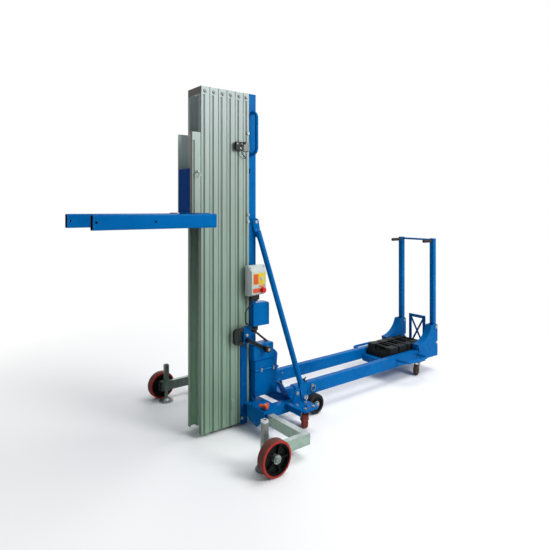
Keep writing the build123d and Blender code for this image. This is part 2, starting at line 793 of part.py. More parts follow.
# Outriggers: lateral arm in the socket, forward arm with wheel axle and jack sleeve
for name, s in SIDES.items():
    front_in = arm_outer - front_arm_w
    inside_z = (arm_bottom + arm_wall, arm_top - arm_wall)
    arm_xs = (arm_x - arm_w / 2, arm_x + arm_w / 2)
    arm = block(arm_xs, across(s, arm_inner, arm_outer), (arm_bottom, arm_top))
    arm += block((arm_front, arm_x + arm_w / 2), across(s, front_in, arm_outer), (arm_bottom, arm_top))
    arm -= block((arm_x - arm_w / 2 + arm_wall, arm_x + arm_w / 2 - arm_wall),
                 across(s, arm_inner - 1, front_in), inside_z)
    arm -= block((arm_front - 1, arm_x - arm_w / 2),
                 across(s, front_in + arm_wall, arm_outer - arm_wall), inside_z)
    sleeve_in = front_in - jack_sleeve
    sleeve_mid = sleeve_in + jack_sleeve / 2
    sleeve_top = arm_top + jack_sleeve_rise
    arm += block((jack_x - jack_sleeve / 2, jack_x + jack_sleeve / 2),
                 across(s, sleeve_in, sleeve_in + jack_sleeve),
                 (jack_bottom, sleeve_top))
    for gap, low in ((slide_gap, jack_bottom + jack_collar), (run_fit, jack_bottom - 1)):
        arm -= rod_z(jack_leg_d + 2 * gap, jack_x, s * sleeve_mid, low, sleeve_top + 1)
    arm += block((-30, 30), across(s, arm_outer, arm_outer + plate_t), (axle_z - 28, arm_top))
    hub_in = track_half - wheel_w / 2
    hub_out = track_half + wheel_w / 2
    arm += rod_y(axle_d + 12, 0, s * arm_outer, s * (hub_in - turn_gap), axle_z)
    arm += rod_y(axle_d, 0, s * arm_outer, s * (hub_out + turn_gap + 4), axle_z)
    arm += rod_y(axle_d + 12, 0, s * (hub_out + turn_gap), s * (hub_out + turn_gap + 4), axle_z)
    save(f"outrigger_{name}", arm)

    wheel = Rot(90, 0, 0) * Cylinder(wheel_d / 2, wheel_w)
    wheel = fillet(wheel.edges().filter_by(GeomType.CIRCLE), 7)
    core_d = wheel_d - 2 * tread_t
    for face in (LEFT, RIGHT):
        floor_y = wheel_w / 2 - wheel_dish
        hub = rod_y(wheel_hub_d, 0, 0, face * wheel_w, 0)
        wheel -= rod_y(core_d, 0, face * floor_y, face * (wheel_w / 2 + 1), 0) - hub
        pocket = rod_y(core_d - 2 * wheel_rim, 0, face * (floor_y - wheel_pocket), face * wheel_w / 2, 0) - hub
        for rib in range(wheel_ribs):
            pocket -= Rot(0, 360 * rib / wheel_ribs, 0) * block((0, core_d), (-wheel_w, wheel_w),
                                                                (-wheel_rib_t / 2, wheel_rib_t / 2))
        wheel -= pocket
    wheel -= rod_y(axle_d + 2 * run_fit, 0, -wheel_w, wheel_w, 0)
    save(f"outrigger_wheel_{name}", Pos(0, s * track_half, axle_z) * wheel)

    jack = rod_z(jack_leg_d, jack_x, s * sleeve_mid, jack_foot_t, jack_top - jack_crown_h / 2)
    jack += rod_z(jack_foot_d, jack_x, s * sleeve_mid, 0, jack_foot_t)
    jack += Pos(jack_x, s * sleeve_mid, jack_foot_t + jack_cone_h / 2) * Cone(
        jack_cone_d / 2, jack_leg_d / 2, jack_cone_h)
    crown = Pos(jack_x, s * sleeve_mid, jack_top - jack_crown_h / 2) * Box(jack_crown, jack_crown, jack_crown_h)
    socket = jack_crown - 2 * jack_crown_wall
    jack += crown
    jack -= Pos(jack_x, s * sleeve_mid, jack_top) * Box(socket, socket, jack_crown_h)
    save(f"jack_{name}", jack)

    lobed = Circle(knob_r * 0.5)
    for a in (0.3, 0.3 + math.tau / 3, 0.3 + 2 * math.tau / 3):
        lobed += Pos(0.68 * knob_r * math.cos(a), 0.68 * knob_r * math.sin(a)) * Circle(knob_r * 0.32)
    star = Pos(0, 0, deck_top + knob_lift) * extrude(lobed, knob_h)
    star = fillet(star.faces().sort_by(Axis.Z)[-1].edges(), 4)
    star += rod_z(22, 0, 0, deck_top + turn_gap, deck_top + knob_lift)
    star += rod_z(screw_d, 0, 0, arm_top + 0.3, deck_top + knob_lift)
    save(f"star_knob_{name}", Pos(knob_x, s * knob_y, 0) * star)

# Chassis beams with wheel drop brackets, axles and rear caster pads
for name, s in SIDES.items():
    beam = block((beam_front, beam_rear), across(s, beam_in, beam_out), (beam_bottom, beam_top))
    beam = fillet(beam.edges().filter_by(Axis.X), 6)
    beam -= block((beam_front - 1, beam_rear + 1), across(s, beam_in + beam_wall, beam_out - beam_wall),
                  (beam_bottom + beam_wall, beam_top - beam_wall))
    axle_at = fixed_wheel_d / 2
    wheel_in = beam_out + plate_t + 8
    wheel_out = wheel_in + fixed_wheel_w
    drop = [(fixed_wheel_x - 36, beam_bottom + 34), (fixed_wheel_x + 36, beam_bottom + 34),
            (fixed_wheel_x + 20, axle_at - 20), (fixed_wheel_x - 20, axle_at - 20)]
    beam += plate_xz(drop, s * beam_out, s * (beam_out + plate_t))
    beam += rod_y(fixed_axle_d + 12, fixed_wheel_x, s * beam_out, s * (wheel_in - turn_gap), axle_at)
    beam += rod_y(fixed_axle_d, fixed_wheel_x, s * beam_out, s * (wheel_out + turn_gap + 5), axle_at)
    beam += rod_y(fixed_axle_d + 10, fixed_wheel_x, s * (wheel_out + turn_gap),
                  s * (wheel_out + turn_gap + 5), axle_at)
    beam += block((rear_axis[0] - rear_pad / 2, rear_axis[0] + rear_pad / 2),
                  across(s, rear_axis[1] - rear_pad / 2, rear_axis[1] + rear_pad / 2),
                  (rear_pad_low, beam_bottom))
    beam -= rod_z(kingpin_d + 2 * run_fit, rear_axis[0], s * rear_axis[1], rear_pad_low - 1,
                  beam_bottom + beam_wall + 1)
    beam -= rod_y(ring_pin_d + 2 * run_fit, ring_pin_x, s * (beam_in - 1), s * (beam_out + 1), ring_pin_z)
    save(f"chassis_beam_{name}", beam)
    wheel = wheel_y(fixed_wheel_d, fixed_wheel_w, fixed_axle_d + 2 * run_fit, 42, 18)
    save(f"chassis_wheel_{name}", Pos(fixed_wheel_x, s * (wheel_in + wheel_out) / 2, axle_at) * wheel)
    pin = rod_y(ring_pin_d, ring_pin_x, s * (beam_in - 3), s * (beam_out + 8), ring_pin_z)
    pin += rod_y(22, ring_pin_x, s * beam_out, s * (beam_out + 4), ring_pin_z)
    pin += Pos(ring_pin_x, s * (beam_out + 10), ring_pin_z - 15) * Rot(90, 0, 0) * Torus(18, 3)
    save(f"ring_pin_{name}", pin)

loops = []
for s in (LEFT, RIGHT):
    loops.append(bent_rod(loop_d, [(loop_front, s * beam_out, loop_z),
                                   (loop_front, s * (beam_out + loop_out), loop_z),
                                   (loop_rear, s * (beam_out + loop_out), loop_z),
                                   (loop_rear, s * beam_out, loop_z)], 32))
save("beam_handles", *loops)

# Ballast cradle with the rear rack
tray_low = tray_top - tray_t
cradle = block((tray_front, tray_rear), (-beam_in, beam_in), (tray_low, tray_top))
for x in (tray_front, tray_rear - 95, tray_rear + 5):
    cradle += block((x, x + cross_tube), (-beam_in, beam_in), (tray_low - cross_tube, tray_low))
cradle += block((tray_rear, tray_rear + 5), (-beam_in, beam_in), (tray_low - cross_tube, tray_top))
rack_x = (tray_rear + 36, tray_rear + 36 + rack_t)
for s in (LEFT, RIGHT):
    cradle += block(rack_x, across(s, rack_half - rack_bar, rack_half), (tray_low - 2, rack_top))
    rise = rack_top - tray_top - rack_bar
    span = 2 * rack_half - rack_bar
    brace = Box(rack_t - 2, math.hypot(rise, span), 14)
    cradle += Pos(sum(rack_x) / 2, 0, tray_top + rack_top / 2 - tray_top / 2) * Rot(
        s * math.degrees(math.atan2(rise, span)), 0, 0) * brace
for z in (tray_top + 20, rack_top - rack_bar):
    cradle += block(rack_x, (-rack_half, rack_half), (z, z + rack_bar))
save("ballast_cradle", cradle)

weights = []
for number in range(weight_count):
    x0 = weight_front + number * weight_pitch
    outline = [(x0, tray_top), (x0 + weight_w, tray_top),
               (x0 + weight_w - weight_draft / 4, tray_top + weight_h),
               (x0 + weight_draft, tray_top + weight_h)]
    weight = plate_xz(outline, -weight_half, weight_half)
    weight = fillet(weight.edges().filter_by(lambda e: e.center().Z > tray_top + 1), 4)
    grip_x = x0 + weight_w / 2 + 3
    pocket = block((x0 - 1, x0 + weight_w + 1), (-weight_grip, weight_grip),
                   (tray_top + weight_h - weight_pocket, tray_top + weight_h + 1))
    pocket = fillet(pocket.edges().filter_by(Axis.X), 12)
    pocket -= block((x0 + weight_w - 12, x0 + weight_w + 2), (-weight_grip, weight_grip),
                    (tray_top, tray_top + weight_h + 2))
    weight -= pocket
    weight += rod_y(22, grip_x - 8, -weight_grip - 12, weight_grip + 12, tray_top + weight_h - 12)
    weights.append(weight)
save("ballast_weights", *weights)

# Box gussets at the rear ends of the beams
toe_drop = gusset_toe_z
rise = gusset_top - toe_drop
reach = gusset_crest_x - gusset_toe_x
curve_r = (reach ** 2 + rise ** 2) / (2 * rise)
curve_z = toe_drop + curve_r
mid = math.radians(-90 + math.degrees(math.atan2(reach, curve_r - rise)) / 2)
crest = (gusset_crest_x, gusset_top)
toe = (gusset_toe_x, gusset_toe_z)
bow = ThreePointArc(crest, (gusset_toe_x + curve_r * math.cos(mid), curve_z + curve_r * math.sin(mid)), toe)


def gusset_face(*below):
    edge = Polyline(toe, *below, (beam_rear, gusset_top - 12), (beam_rear - 12, gusset_top), crest)
    return make_face([bow, edge])


gussets = []
for s in (LEFT, RIGHT):
    outer = gusset_face((gusset_heel_x, beam_bottom + 3), (beam_rear, beam_bottom + 3))
    inner = gusset_face((gusset_toe_x, beam_top), (beam_rear, beam_top))
    ring = Pos(gusset_toe_x, curve_z) * (Circle(curve_r + gusset_t) - Circle(curve_r))
    wall = (inner & ring) + rect(gusset_toe_x, gusset_toe_x + gusset_t, beam_top, gusset_toe_z)
    spans = ((outer, beam_out, beam_out + gusset_t), (inner, beam_in, beam_in + gusset_t),
             (wall, beam_in + gusset_t, beam_out))
    gusset = None
    for face, near, far in spans:
        low, high = across(s, near, far)
        piece = Pos(0, high, 0) * Rot(90, 0, 0) * extrude(face, high - low)
        gusset = piece if gusset is None else gusset + piece
    cut = across(s, beam_in - 1, beam_out + gusset_t + 1)
    gusset -= rod_y(pivot_d + 2 * run_fit, pivot_x, cut[0], cut[1], pivot_z)
    notch_r = latch_d / 2 + 3
    gusset -= block((pivot_x + latch_set, beam_rear + 1), cut, (latch_z - notch_r, latch_z + notch_r))
    gusset -= rod_y(2 * notch_r, pivot_x + latch_set, cut[0], cut[1], latch_z)
    gussets.append(gusset)
save("handle_gussets", *gussets)

# Push handle: two posts, cross bar, pivot pins, latch pins, grip cores
handle = None
grips = []
for s in (LEFT, RIGHT):
    post_y = beam_mid + 1.5
    leg = block((pivot_x - post / 2, pivot_x + post / 2), across(s, post_y - post / 2, post_y + post / 2),
                (post_tail, post_top))
    leg = fillet(leg.edges().filter_by(Axis.Z), 4)
    leg -= block((pivot_x - post / 2 + post_wall, pivot_x + post / 2 - post_wall),
                 across(s, post_y - post / 2 + post_wall, post_y + post / 2 - post_wall),
                 (post_tail - 1, post_top - post_wall))
    leg += rod_y(pivot_d, pivot_x, s * (beam_in - 4), s * (beam_out + gusset_t + 4), pivot_z)
    leg += hex_y(pivot_x, s * (beam_out + gusset_t + turn_gap), s * (beam_out + gusset_t + 9), pivot_z, 24)
    leg += rod_y(latch_d, pivot_x + latch_set, s * (beam_in - 2), s * (beam_out + gusset_t + 3), latch_z)
    core_z = post_top - 20
    leg += rod_x(grip_core_d, pivot_x - post / 2 - grip_l + 4, pivot_x - post / 2 + 2, s * post_y, core_z)
    handle = leg if handle is None else handle + leg
    grip = rod_x(grip_d, pivot_x - post / 2 - grip_l, pivot_x - post / 2, s * post_y, core_z)
    grip = fillet(grip.edges().filter_by(GeomType.CIRCLE), 4)
    grip -= rod_x(grip_core_d, pivot_x - post / 2 - grip_l + 4, pivot_x, s * post_y, core_z)
    grips.append(grip)
handle += rod_y(bar_d, pivot_x, -beam_mid, beam_mid, post_top - 12)
save("push_handle", handle)
save("handle_grips", *grips)

# Battery box: tub with a back panel, two cells, cover, clips
tub = block((box_front, box_rear), across(LEFT, box_in + spine_t, box_out), (box_bottom, box_seam))
tub = fillet(tub.edges().filter_by(Axis.Z), 6)
tub -= block((box_front + box_wall, box_rear - box_wall),
             across(LEFT, box_in + spine_t + box_wall, box_out - box_wall),
             (box_bottom + box_wall, box_seam + 1))
lip = block((box_front - 2, box_rear + 3), across(LEFT, box_in + spine_t, box_out + lip_over),
            (box_seam - lip_h, box_seam))
lip -= block((box_front + box_wall, box_rear - box_wall),
             across(LEFT, box_in + spine_t + box_wall, box_out - box_wall), (box_seam - lip_h - 1, box_seam + 1))
tub += lip
spine = [(box_front, box_bottom), (spine_rear - 20, box_bottom), (spine_rear, spine_hip),
         (spine_ear, spine_top - 34), (spine_ear - 26, spine_top), (box_front, spine_top)]
tub += plate_xz(spine, -box_in, -box_in - spine_t)
save("battery_tub", tub)

cell_y = across(LEFT, box_in + spine_t + box_wall + 1, box_out - box_wall - 1)
lower_cell = block((box_front + 6, box_rear - 6), cell_y,
                   (box_bottom + box_wall, box_bottom + box_wall + cell_h))
upper_cell = block((box_front + 6, cover_step_x - 6), cell_y,
                   (box_bottom + box_wall + cell_h, box_bottom + box_wall + 2 * cell_h))
save("battery", lower_cell, upper_cell)

cover_y = across(LEFT, box_in + spine_t, box_out)
cover = plate_xz([(box_front, box_seam), (box_rear, box_seam), (box_rear, cover_shoulder),
                  (cover_step_x, cover_neck), (box_front, cover_neck)], *cover_y)
uprights = cover.edges().filter_by(Axis.Z)
cover = fillet(uprights.filter_by(lambda e: e.center().Y < -box_out + 1), cover_round)
cap_y = across(LEFT, box_in + spine_t, box_out + cap_over)
cap = block((box_front - cap_reach, cover_step_x), cap_y, (cap_low, box_top))
uprights = cap.edges().filter_by(Axis.Z)
cap = fillet(uprights.filter_by(lambda e: e.center().Y < -box_out), cover_round)
rims = cap.edges().filter_by(lambda e: abs(e.center().Z - box_top) < 0.1)
cover += fillet(rims.filter_by(lambda e: e.center().Y < -box_in - box_depth / 3), cover_round)
inside_y = across(LEFT, box_in + spine_t + box_wall, box_out - box_wall)
cover -= block((box_front + box_wall, box_rear - box_wall), inside_y, (box_seam - 1, cover_shoulder - box_wall))
cover -= block((box_front + box_wall, cover_step_x - box_wall), inside_y, (box_seam - 1, box_top - box_wall))
save("battery_cover", cover)

clip_axis_z = box_seam - clip_drop
clip_top = box_seam + clip_rise
clip_in = box_out + lip_over + 1
clips = []
for x in clip_xs:
    clip_x = (x - clip_w / 2, x + clip_w / 2)
    clip = block(clip_x, across(LEFT, clip_in, clip_in + clip_t), (clip_axis_z, clip_top))
    clip += rod_x(clip_barrel, *clip_x, -clip_in - 0.5 + clip_barrel / 2, clip_axis_z)
    clip += block(clip_x, across(LEFT, box_out + 0.5, clip_in + 1), (clip_top - clip_hook, clip_top))
    clips.append(clip)
save("battery_clips", *clips)

# Winch: frame on the back of the column, drum, motor with gear case, cover over the motor
sides_y = (winch_half - winch_plate, winch_half)
winch = block((column_rear, column_rear + winch_plate), (-winch_half, winch_half),
              (winch_low - 8, winch_high + 8))
for s in (LEFT, RIGHT):
    winch += block((column_rear, drum_x + 24), across(s, *sides_y), (winch_low, winch_high))
winch -= rod_y(drum_shaft_d + 2 * run_fit, drum_x, -winch_half - 1, winch_half + 1, drum_z)
save("winch_frame", winch)

drum_in = winch_half - winch_plate - turn_gap
drum = rod_y(drum_core_d, drum_x, -drum_in, drum_in, drum_z)
for s in (LEFT, RIGHT):
    drum += rod_y(drum_flange_d, drum_x, s * (drum_in - drum_flange_t), s * drum_in, drum_z)
drum += rod_y(drum_shaft_d, drum_x, -winch_half - 20, winch_half + 4, drum_z)
save("winch_drum", drum)

case_out = motor_y + 8
motor = rod_z(motor_d, motor_x, -motor_y, motor_low, motor_high)
motor += rod_z(motor_d - 14, motor_x, -motor_y, motor_low - motor_boss, motor_low)
case = block((motor_x, drum_x + 16), across(LEFT, winch_half, case_out), (drum_z - 34, drum_z + 34))
case = fillet(case.edges().filter_by(Axis.Y), 8)
case -= rod_y(drum_shaft_d + 2 * run_fit, drum_x, -winch_half - 21, -winch_half + 1, drum_z)
save("winch_motor", motor + case)

cover_in = column_half + 2
hood = block((hood_front, hood_rear), across(LEFT, cover_in, hood_out), (hood_low, hood_high))
round_edges = hood.edges().filter_by(lambda e: e.center().Z > hood_low + 1 and e.center().Y < -cover_in - 1)
hood = fillet(round_edges, hood_round)
hood -= block((hood_front + hood_wall, hood_rear - hood_wall),
              across(LEFT, cover_in - 1, hood_out - hood_wall),
              (hood_low - 1, hood_high - 8))
hood -= block((motor_x, drum_x + 20), across(LEFT, cover_in - 1, case_out + 2), (drum_z - 37, drum_z + 37))
hood -= block((column_rear - 2, hood_rear + 1), across(LEFT, cover_in - 1, winch_half + 2),
              (hood_low - 1, winch_high + 10))
hood += block((hood_front + hood_wall, hood_front + 60), across(LEFT, column_half, cover_in + 4),
              (hood_high - 30, hood_high - 8))
save("motor_cover", hood)

# Control box: back half, tapered front, bracket behind it, emergency stop button, glands
turned = Pos(control_at[0], control_at[1], 0) * Rot(0, 0, control_turn)
box = block((0, control_w), (-control_body, 0), (control_low, control_high))
box = fillet(box.edges().filter_by(Axis.Y), 8)
mid_z = (control_low + control_high) / 2
tall = control_high - control_low
wide = Plane((control_w / 2, -control_body, mid_z), x_dir=(1, 0, 0), z_dir=(0, -1, 0))
face_z = mid_z - (control_crown - control_chin) / 2
near = Plane((control_w / 2, -control_depth, face_z), x_dir=(1, 0, 0), z_dir=(0, -1, 0))
lid = loft([wide * RectangleRounded(control_w, tall, 8),
            near * RectangleRounded(control_w - control_draft, tall - control_crown - control_chin, 8)])
box += lid
box -= rod_y(stop_stem_d + 2 * run_fit, stop_u, -control_depth - 1, -control_depth + 24, stop_z)
for u in gland_us:
    box += rod_z(gland_d, u, -control_body / 2, control_low - gland_l, control_low)
gland_hole = rod_z(cable_d, gland_us[0], -control_body / 2, control_low - gland_l - 1, control_low - 4)
save("control_box", turned * (box - gland_hole))

stop = rod_y(stop_d, stop_u, -control_depth - stop_travel - 1, -control_depth - stop_reach, stop_z)
stop = fillet(stop.edges().filter_by(GeomType.CIRCLE), 4)
stop += rod_y(stop_stem_d, stop_u, -control_depth + 24 - stop_travel - 1,
              -control_depth - stop_travel - 2, stop_z)
save("e_stop_button", turned * stop)

holder = block((column_front + 26, column_front + 64), (-110, -column_half),
               (control_low + 35, control_high - 35))
holder -= turned * block((-200, 300), (-200, 0), (control_low, control_high))
save("control_bracket", holder)

gland_at = turned * Pos(gland_us[0], -control_body / 2, control_low)
gx, gy = gland_at.position.X, gland_at.position.Y
cable_z = motor_low + 13
cable_touch = -motor_y - math.sqrt((motor_d / 2) ** 2 - (8 - cable_d / 2) ** 2)
cable_path = [(gx, gy, control_low - 5), (gx, gy, hood_high + 2), (cable_bow_x, gy - 2, hood_high - 43),
              (cable_bow_x + 2, gy - 1, hood_low + 36), (hood_front - 5, -cable_out, cable_z),
              (motor_x - 8, -cable_out, cable_z), (motor_x - 8, cable_touch - 0.1, cable_z)]
control_cable = bent_rod(cable_d, cable_path, [20, 26, 26, 26, 10])
save("control_cable", control_cable)

leads = []
lead_z = (box_top + 0.1, motor_low - motor_boss - 0.1)
for y in lead_ys:
    lead_from = Vector(motor_x + lead_head, -y, lead_z[1])
    lead_to = Vector(cover_step_x - lead_set, -y, lead_z[0])
    lead_run = (lead_to - lead_from).normalized()
    lead_long = (lead_to - lead_from).length + 4 * lead_d
    lead = Plane(lead_from - lead_run * 2 * lead_d, z_dir=lead_run) * extrude(Circle(lead_d / 2), lead_long)
    leads.append(lead & block((box_front, box_rear), (-y - lead_d, -y + lead_d), lead_z))
save("battery_cables", *leads)

# Frame bolts
for s in (LEFT, RIGHT):
    for z in (lug_z + lug_bolt_rise, lug_z + lug_bolt_rise + lug_bolt_gap, mast_top - frame_bolt_drop):
        fasteners.append(hex_y(mast_rear - 8, s * mast_half, s * (mast_half + hex_h), z))
    fasteners.append(hex_y(foot_front + 8, s * foot_out, s * (foot_out + hex_h), foot_bolt_z))
    fin_out = strut_plate_y + plate_t
    fasteners.append(hex_y(fin_crest_x, s * fin_out, s * (fin_out + strut_head_h), fin_crest_z - 26,
                           strut_head_af))
    for u in (-32.5, 32.5):
        for v in (-36, 36):
            fasteners.append(hex_z(corner_axis[0] + u, s * corner_axis[1] + v, deck_top, deck_top + hex_h))
save("fasteners", *fasteners)
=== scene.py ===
# %% [markdown]
# A glazing hoist is a telescopic mast lift: six aluminium channels nest one behind the other, a carriage
# with two fork tubes climbs the front one, and a long chassis with ballast keeps the whole from tipping.
# Its solids come from CAD and are loaded as a frame that stays as it is. Blender adds finishes, the small
# pieces that CAD leaves out, light and a camera.

# %% Load the frame
import json
import math
import bmesh
import bpy
from mathutils import Matrix, Vector


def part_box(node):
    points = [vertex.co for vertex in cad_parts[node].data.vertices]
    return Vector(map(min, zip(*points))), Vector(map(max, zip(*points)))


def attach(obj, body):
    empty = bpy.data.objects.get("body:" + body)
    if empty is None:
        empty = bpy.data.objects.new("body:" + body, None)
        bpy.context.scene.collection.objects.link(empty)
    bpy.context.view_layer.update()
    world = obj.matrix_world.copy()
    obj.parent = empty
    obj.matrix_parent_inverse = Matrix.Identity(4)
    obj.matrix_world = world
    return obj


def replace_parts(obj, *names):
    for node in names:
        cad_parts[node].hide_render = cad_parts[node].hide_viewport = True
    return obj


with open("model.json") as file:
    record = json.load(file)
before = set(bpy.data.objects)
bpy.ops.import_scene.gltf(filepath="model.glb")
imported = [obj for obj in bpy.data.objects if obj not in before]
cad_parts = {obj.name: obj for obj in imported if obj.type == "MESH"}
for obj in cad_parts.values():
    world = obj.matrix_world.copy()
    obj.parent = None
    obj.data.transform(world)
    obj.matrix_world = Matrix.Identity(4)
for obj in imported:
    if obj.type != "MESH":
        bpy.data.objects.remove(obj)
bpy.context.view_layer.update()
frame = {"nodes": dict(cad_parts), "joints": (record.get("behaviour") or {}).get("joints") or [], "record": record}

nodes = frame["nodes"]
SHIFT = -0.651          # station x = 0 is the outrigger axle; the frame's origin is under the middle


# %% [markdown]
# The camera stands level at about shoulder height, off the front left corner. The lens is shifted down
# instead of tilted, so the mast stays upright in the picture, as an architect's camera would show it.

# %% Camera
PICTURE = 550                   # pixels along each side of the picture
FOCAL, DROP = 492.5, 66         # focal length and downward shift of the lens, in those pixels
EYE = (-1.481 + SHIFT, -2.537, 1.306)
REARWARD, ACROSS = 0.616, 0.788
lens = bpy.data.cameras.new("camera")
lens.sensor_width = 36
lens.lens = lens.sensor_width * FOCAL / PICTURE
lens.shift_y = -DROP / PICTURE
camera = bpy.data.objects.new("camera", lens)
bpy.context.collection.objects.link(camera)
camera.location = EYE
camera.rotation_euler = (math.radians(90), 0, -math.atan2(REARWARD, ACROSS))
bpy.context.scene.camera = camera
print("camera at", [round(c, 3) for c in camera.location], "lens", round(lens.lens, 2))


# %% [markdown]
# The look of a surface is a little graph of nodes, and sums that are wired up node by node are hard to read.
# So a Wire wraps one socket and takes part in Python sums: each sum adds a Math node to the graph.

# %% Wire
class Wire:
    """A socket that can be added, multiplied and compared like a number."""

    def __init__(self, finish, socket):
        self.finish = finish
        self.socket = socket

    def sum(self, operation, a, b=0.0):
        return self.finish.node("ShaderNodeMath", {"operation": operation}, {0: a, 1: b})

    def __add__(self, other):
        return self.sum("ADD", self, other)

    __radd__ = __add__

    def __sub__(self, other):
        return self.sum("SUBTRACT", self, other)

    def __rsub__(self, other):
        return self.sum("SUBTRACT", other, self)

    def __mul__(self, other):
        return self.sum("MULTIPLY", self, other)

    __rmul__ = __mul__

    def __pow__(self, other):
        return self.sum("POWER", self, other)

    def __abs__(self):
        return self.sum("ABSOLUTE", self)

    def __gt__(self, other):
        return self.sum("GREATER_THAN", self, other)

    def __lt__(self, other):
        return self.sum("LESS_THAN", self, other)


print("Wire ready")

# %% [markdown]
# A Finish is one material. It makes nodes, feeds their sockets and ends in one Principled shader. Its short
# methods give what every finish here needs: a coordinate, noise, a band, a mix, a bump. A patch lays a
# colour over what the finish has so far, which is how dirt, wear and bare spots are added one by one.

# %% Finish
class Finish:
    """One material: nodes by type, settings and sockets, ending in a Principled shader."""

    def __init__(self, name, world=False):
        self.material = bpy.data.worlds.new(name) if world else bpy.data.materials.new(name)
        self.material.use_nodes = True
        self.tree = self.material.node_tree
        self.shader = self.tree.nodes["Background" if world else "Principled BSDF"]

    def node(self, kind, settings=None, sockets=None, out=0):
        made = self.tree.nodes.new(kind)
        for key, value in (settings or {}).items():
            setattr(made, key, value)
        for key, value in (sockets or {}).items():
            self.feed(made.inputs[key], value)
        return Wire(self, made.outputs[out])

    def feed(self, socket, value):
        if isinstance(value, Wire):
            self.tree.links.new(value.socket, socket)
        elif socket.type == "RGBA" and len(value) == 3:
            socket.default_value = (*value, 1)
        else:
            socket.default_value = value

    def place(self, kind="Object"):
        return self.node("ShaderNodeTexCoord", out=kind)

    def along(self, axis, kind="Object"):
        """One coordinate of a point, or of its surface normal."""
        return self.node("ShaderNodeSeparateXYZ", {}, {0: self.place(kind)}, out=axis)

    def noise(self, scale, detail=3.0, stretch=(1, 1, 1), rough=0.55):
        where = self.node("ShaderNodeMapping", {}, {"Vector": self.place(), "Scale": stretch})
        return self.node("ShaderNodeTexNoise", {}, {"Vector": where, "Scale": scale, "Detail": detail,
                                                    "Roughness": rough})

    def between(self, value, low, high):
        return self.node("ShaderNodeMapRange", {}, {"Value": value, "From Min": low, "From Max": high})

    def mix(self, factor, a, b, blend="MIX"):
        settings = {"data_type": "RGBA", "blend_type": blend}
        return self.node("ShaderNodeMix", settings, {0: factor, 6: a, 7: b}, out=2)

    def bump(self, height, strength, distance):
        sockets = {"Height": height, "Strength": strength, "Distance": distance}
        return self.node("ShaderNodeBump", {}, sockets)

    def background_rays(self):
        """One for rays that should meet plain white: from the camera, a mirror or glass."""
        rays = [self.node("ShaderNodeLightPath", out=kind)
                for kind in ("Is Camera Ray", "Is Glossy Ray", "Is Transmission Ray")]
        return (rays[0] + rays[1] + rays[2]) > 0.5

    def end_in(self, factor, first, second):
        """Ends the graph in a blend of two shaders."""
        blend = self.node("ShaderNodeMixShader", {}, {0: factor, 1: first, 2: second})
        output = next(n for n in self.tree.nodes if n.type.startswith("OUTPUT"))
        self.tree.links.new(blend.socket, output.inputs["Surface"])

    def shade(self, **values):
        for key, value in values.items():
            self.feed(self.shader.inputs[key.replace("_", " ")], value)

    def patch(self, mask, colour, blend="MIX"):
        """Lays a colour over the one so far, where the mask is one."""
        so_far = Wire(self, self.shader.inputs["Base Color"].links[0].from_socket)
        self.shade(Base_Color=self.mix(mask, so_far, colour, blend))


print("Finish ready")

# %% [markdown]
# Plain studio light. The surround gives soft light that is weaker from the fork end, so that faces turned
# that way fall into shade; rays that come straight from the camera or off a mirror meet white instead. Three
# broad lamps add long soft highlights on paint and metal without hard shadows.

# %% World and lamps
FORK_END, REAR_END = (0.20, 0.21, 0.23), (0.50, 0.52, 0.55)
scene = bpy.context.scene
scene.view_settings.view_transform = "Standard"
surround = Finish("studio", world=True)
scene.world = surround.material
toward_rear = surround.between(surround.along("X", "Generated"), -0.6, 0.7)
surround.shade(Color=surround.mix(toward_rear, FORK_END, REAR_END))
white = surround.node("ShaderNodeBackground", {}, {"Color": (1, 1, 1)})
soft = Wire(surround, surround.shader.outputs[0])
surround.end_in(surround.background_rays(), soft, white)


def lamp(name, place, aim, size, power):
    light = bpy.data.lights.new(name, "AREA")
    light.shape = "DISK"
    light.size = size
    light.energy = power
    spot = bpy.data.objects.new(name, light)
    bpy.context.collection.objects.link(spot)
    spot.location = place
    spot.rotation_euler = (Vector(aim) - Vector(place)).to_track_quat("-Z", "Y").to_euler()


lamp("key", place=(1.6, -4.4, 3.6), aim=(0, 0, 0.9), size=2.4, power=200)
lamp("top", place=(1.9, -0.6, 5.4), aim=(0.2, 0, 0), size=3.4, power=135)
lamp("back", place=(1.6, 4.0, 2.6), aim=(0.2, 0, 0.8), size=2.6, power=50)


# %% [markdown]
# Blue powder coat covers the steel frame. Powder coat has a fine orange-peel skin, a little unevenness in
# depth of colour, and near the floor it gathers dust and scuffs that show as paler, duller patches. The
# channel at the foot of the mast wears a deeper blue and the fork frame with its back panel a navy of the
# same kind, both as painted shade. A lighter blue is a painted highlight on an edge. Painted images could
# show all this, but noise in the object's own space needs no unwrapping and no seams.

# %% Blue powder coat
FLOOR_DIRT = (0.02, 0.30)       # metres above the floor over which the scuffs thin out
DUST = (0.20, 0.27, 0.36)
BLUE = {"thin": (0.0, 0.128, 0.392), "thick": (0.0, 0.100, 0.318), "gloss": 0.03}


def powder_coat(name, thin, thick, gloss):
    coat = Finish(name)
    depth = coat.between(coat.noise(5, detail=4), 0.35, 0.7)
    low = 1 - coat.between(coat.along("Z"), *FLOOR_DIRT)
    scuff = coat.between(coat.noise(34, detail=6, rough=0.7), 0.56, 0.70) * (0.02 + 0.18 * low)
    coat.shade(Base_Color=coat.mix(scuff, coat.mix(depth, thick, thin), DUST),
               Roughness=0.24 + 0.34 * scuff + 0.08 * coat.noise(16, detail=3),
               Normal=coat.bump(coat.noise(420, detail=2), 0.10, 0.0006), Specular_IOR_Level=gloss)
    return coat


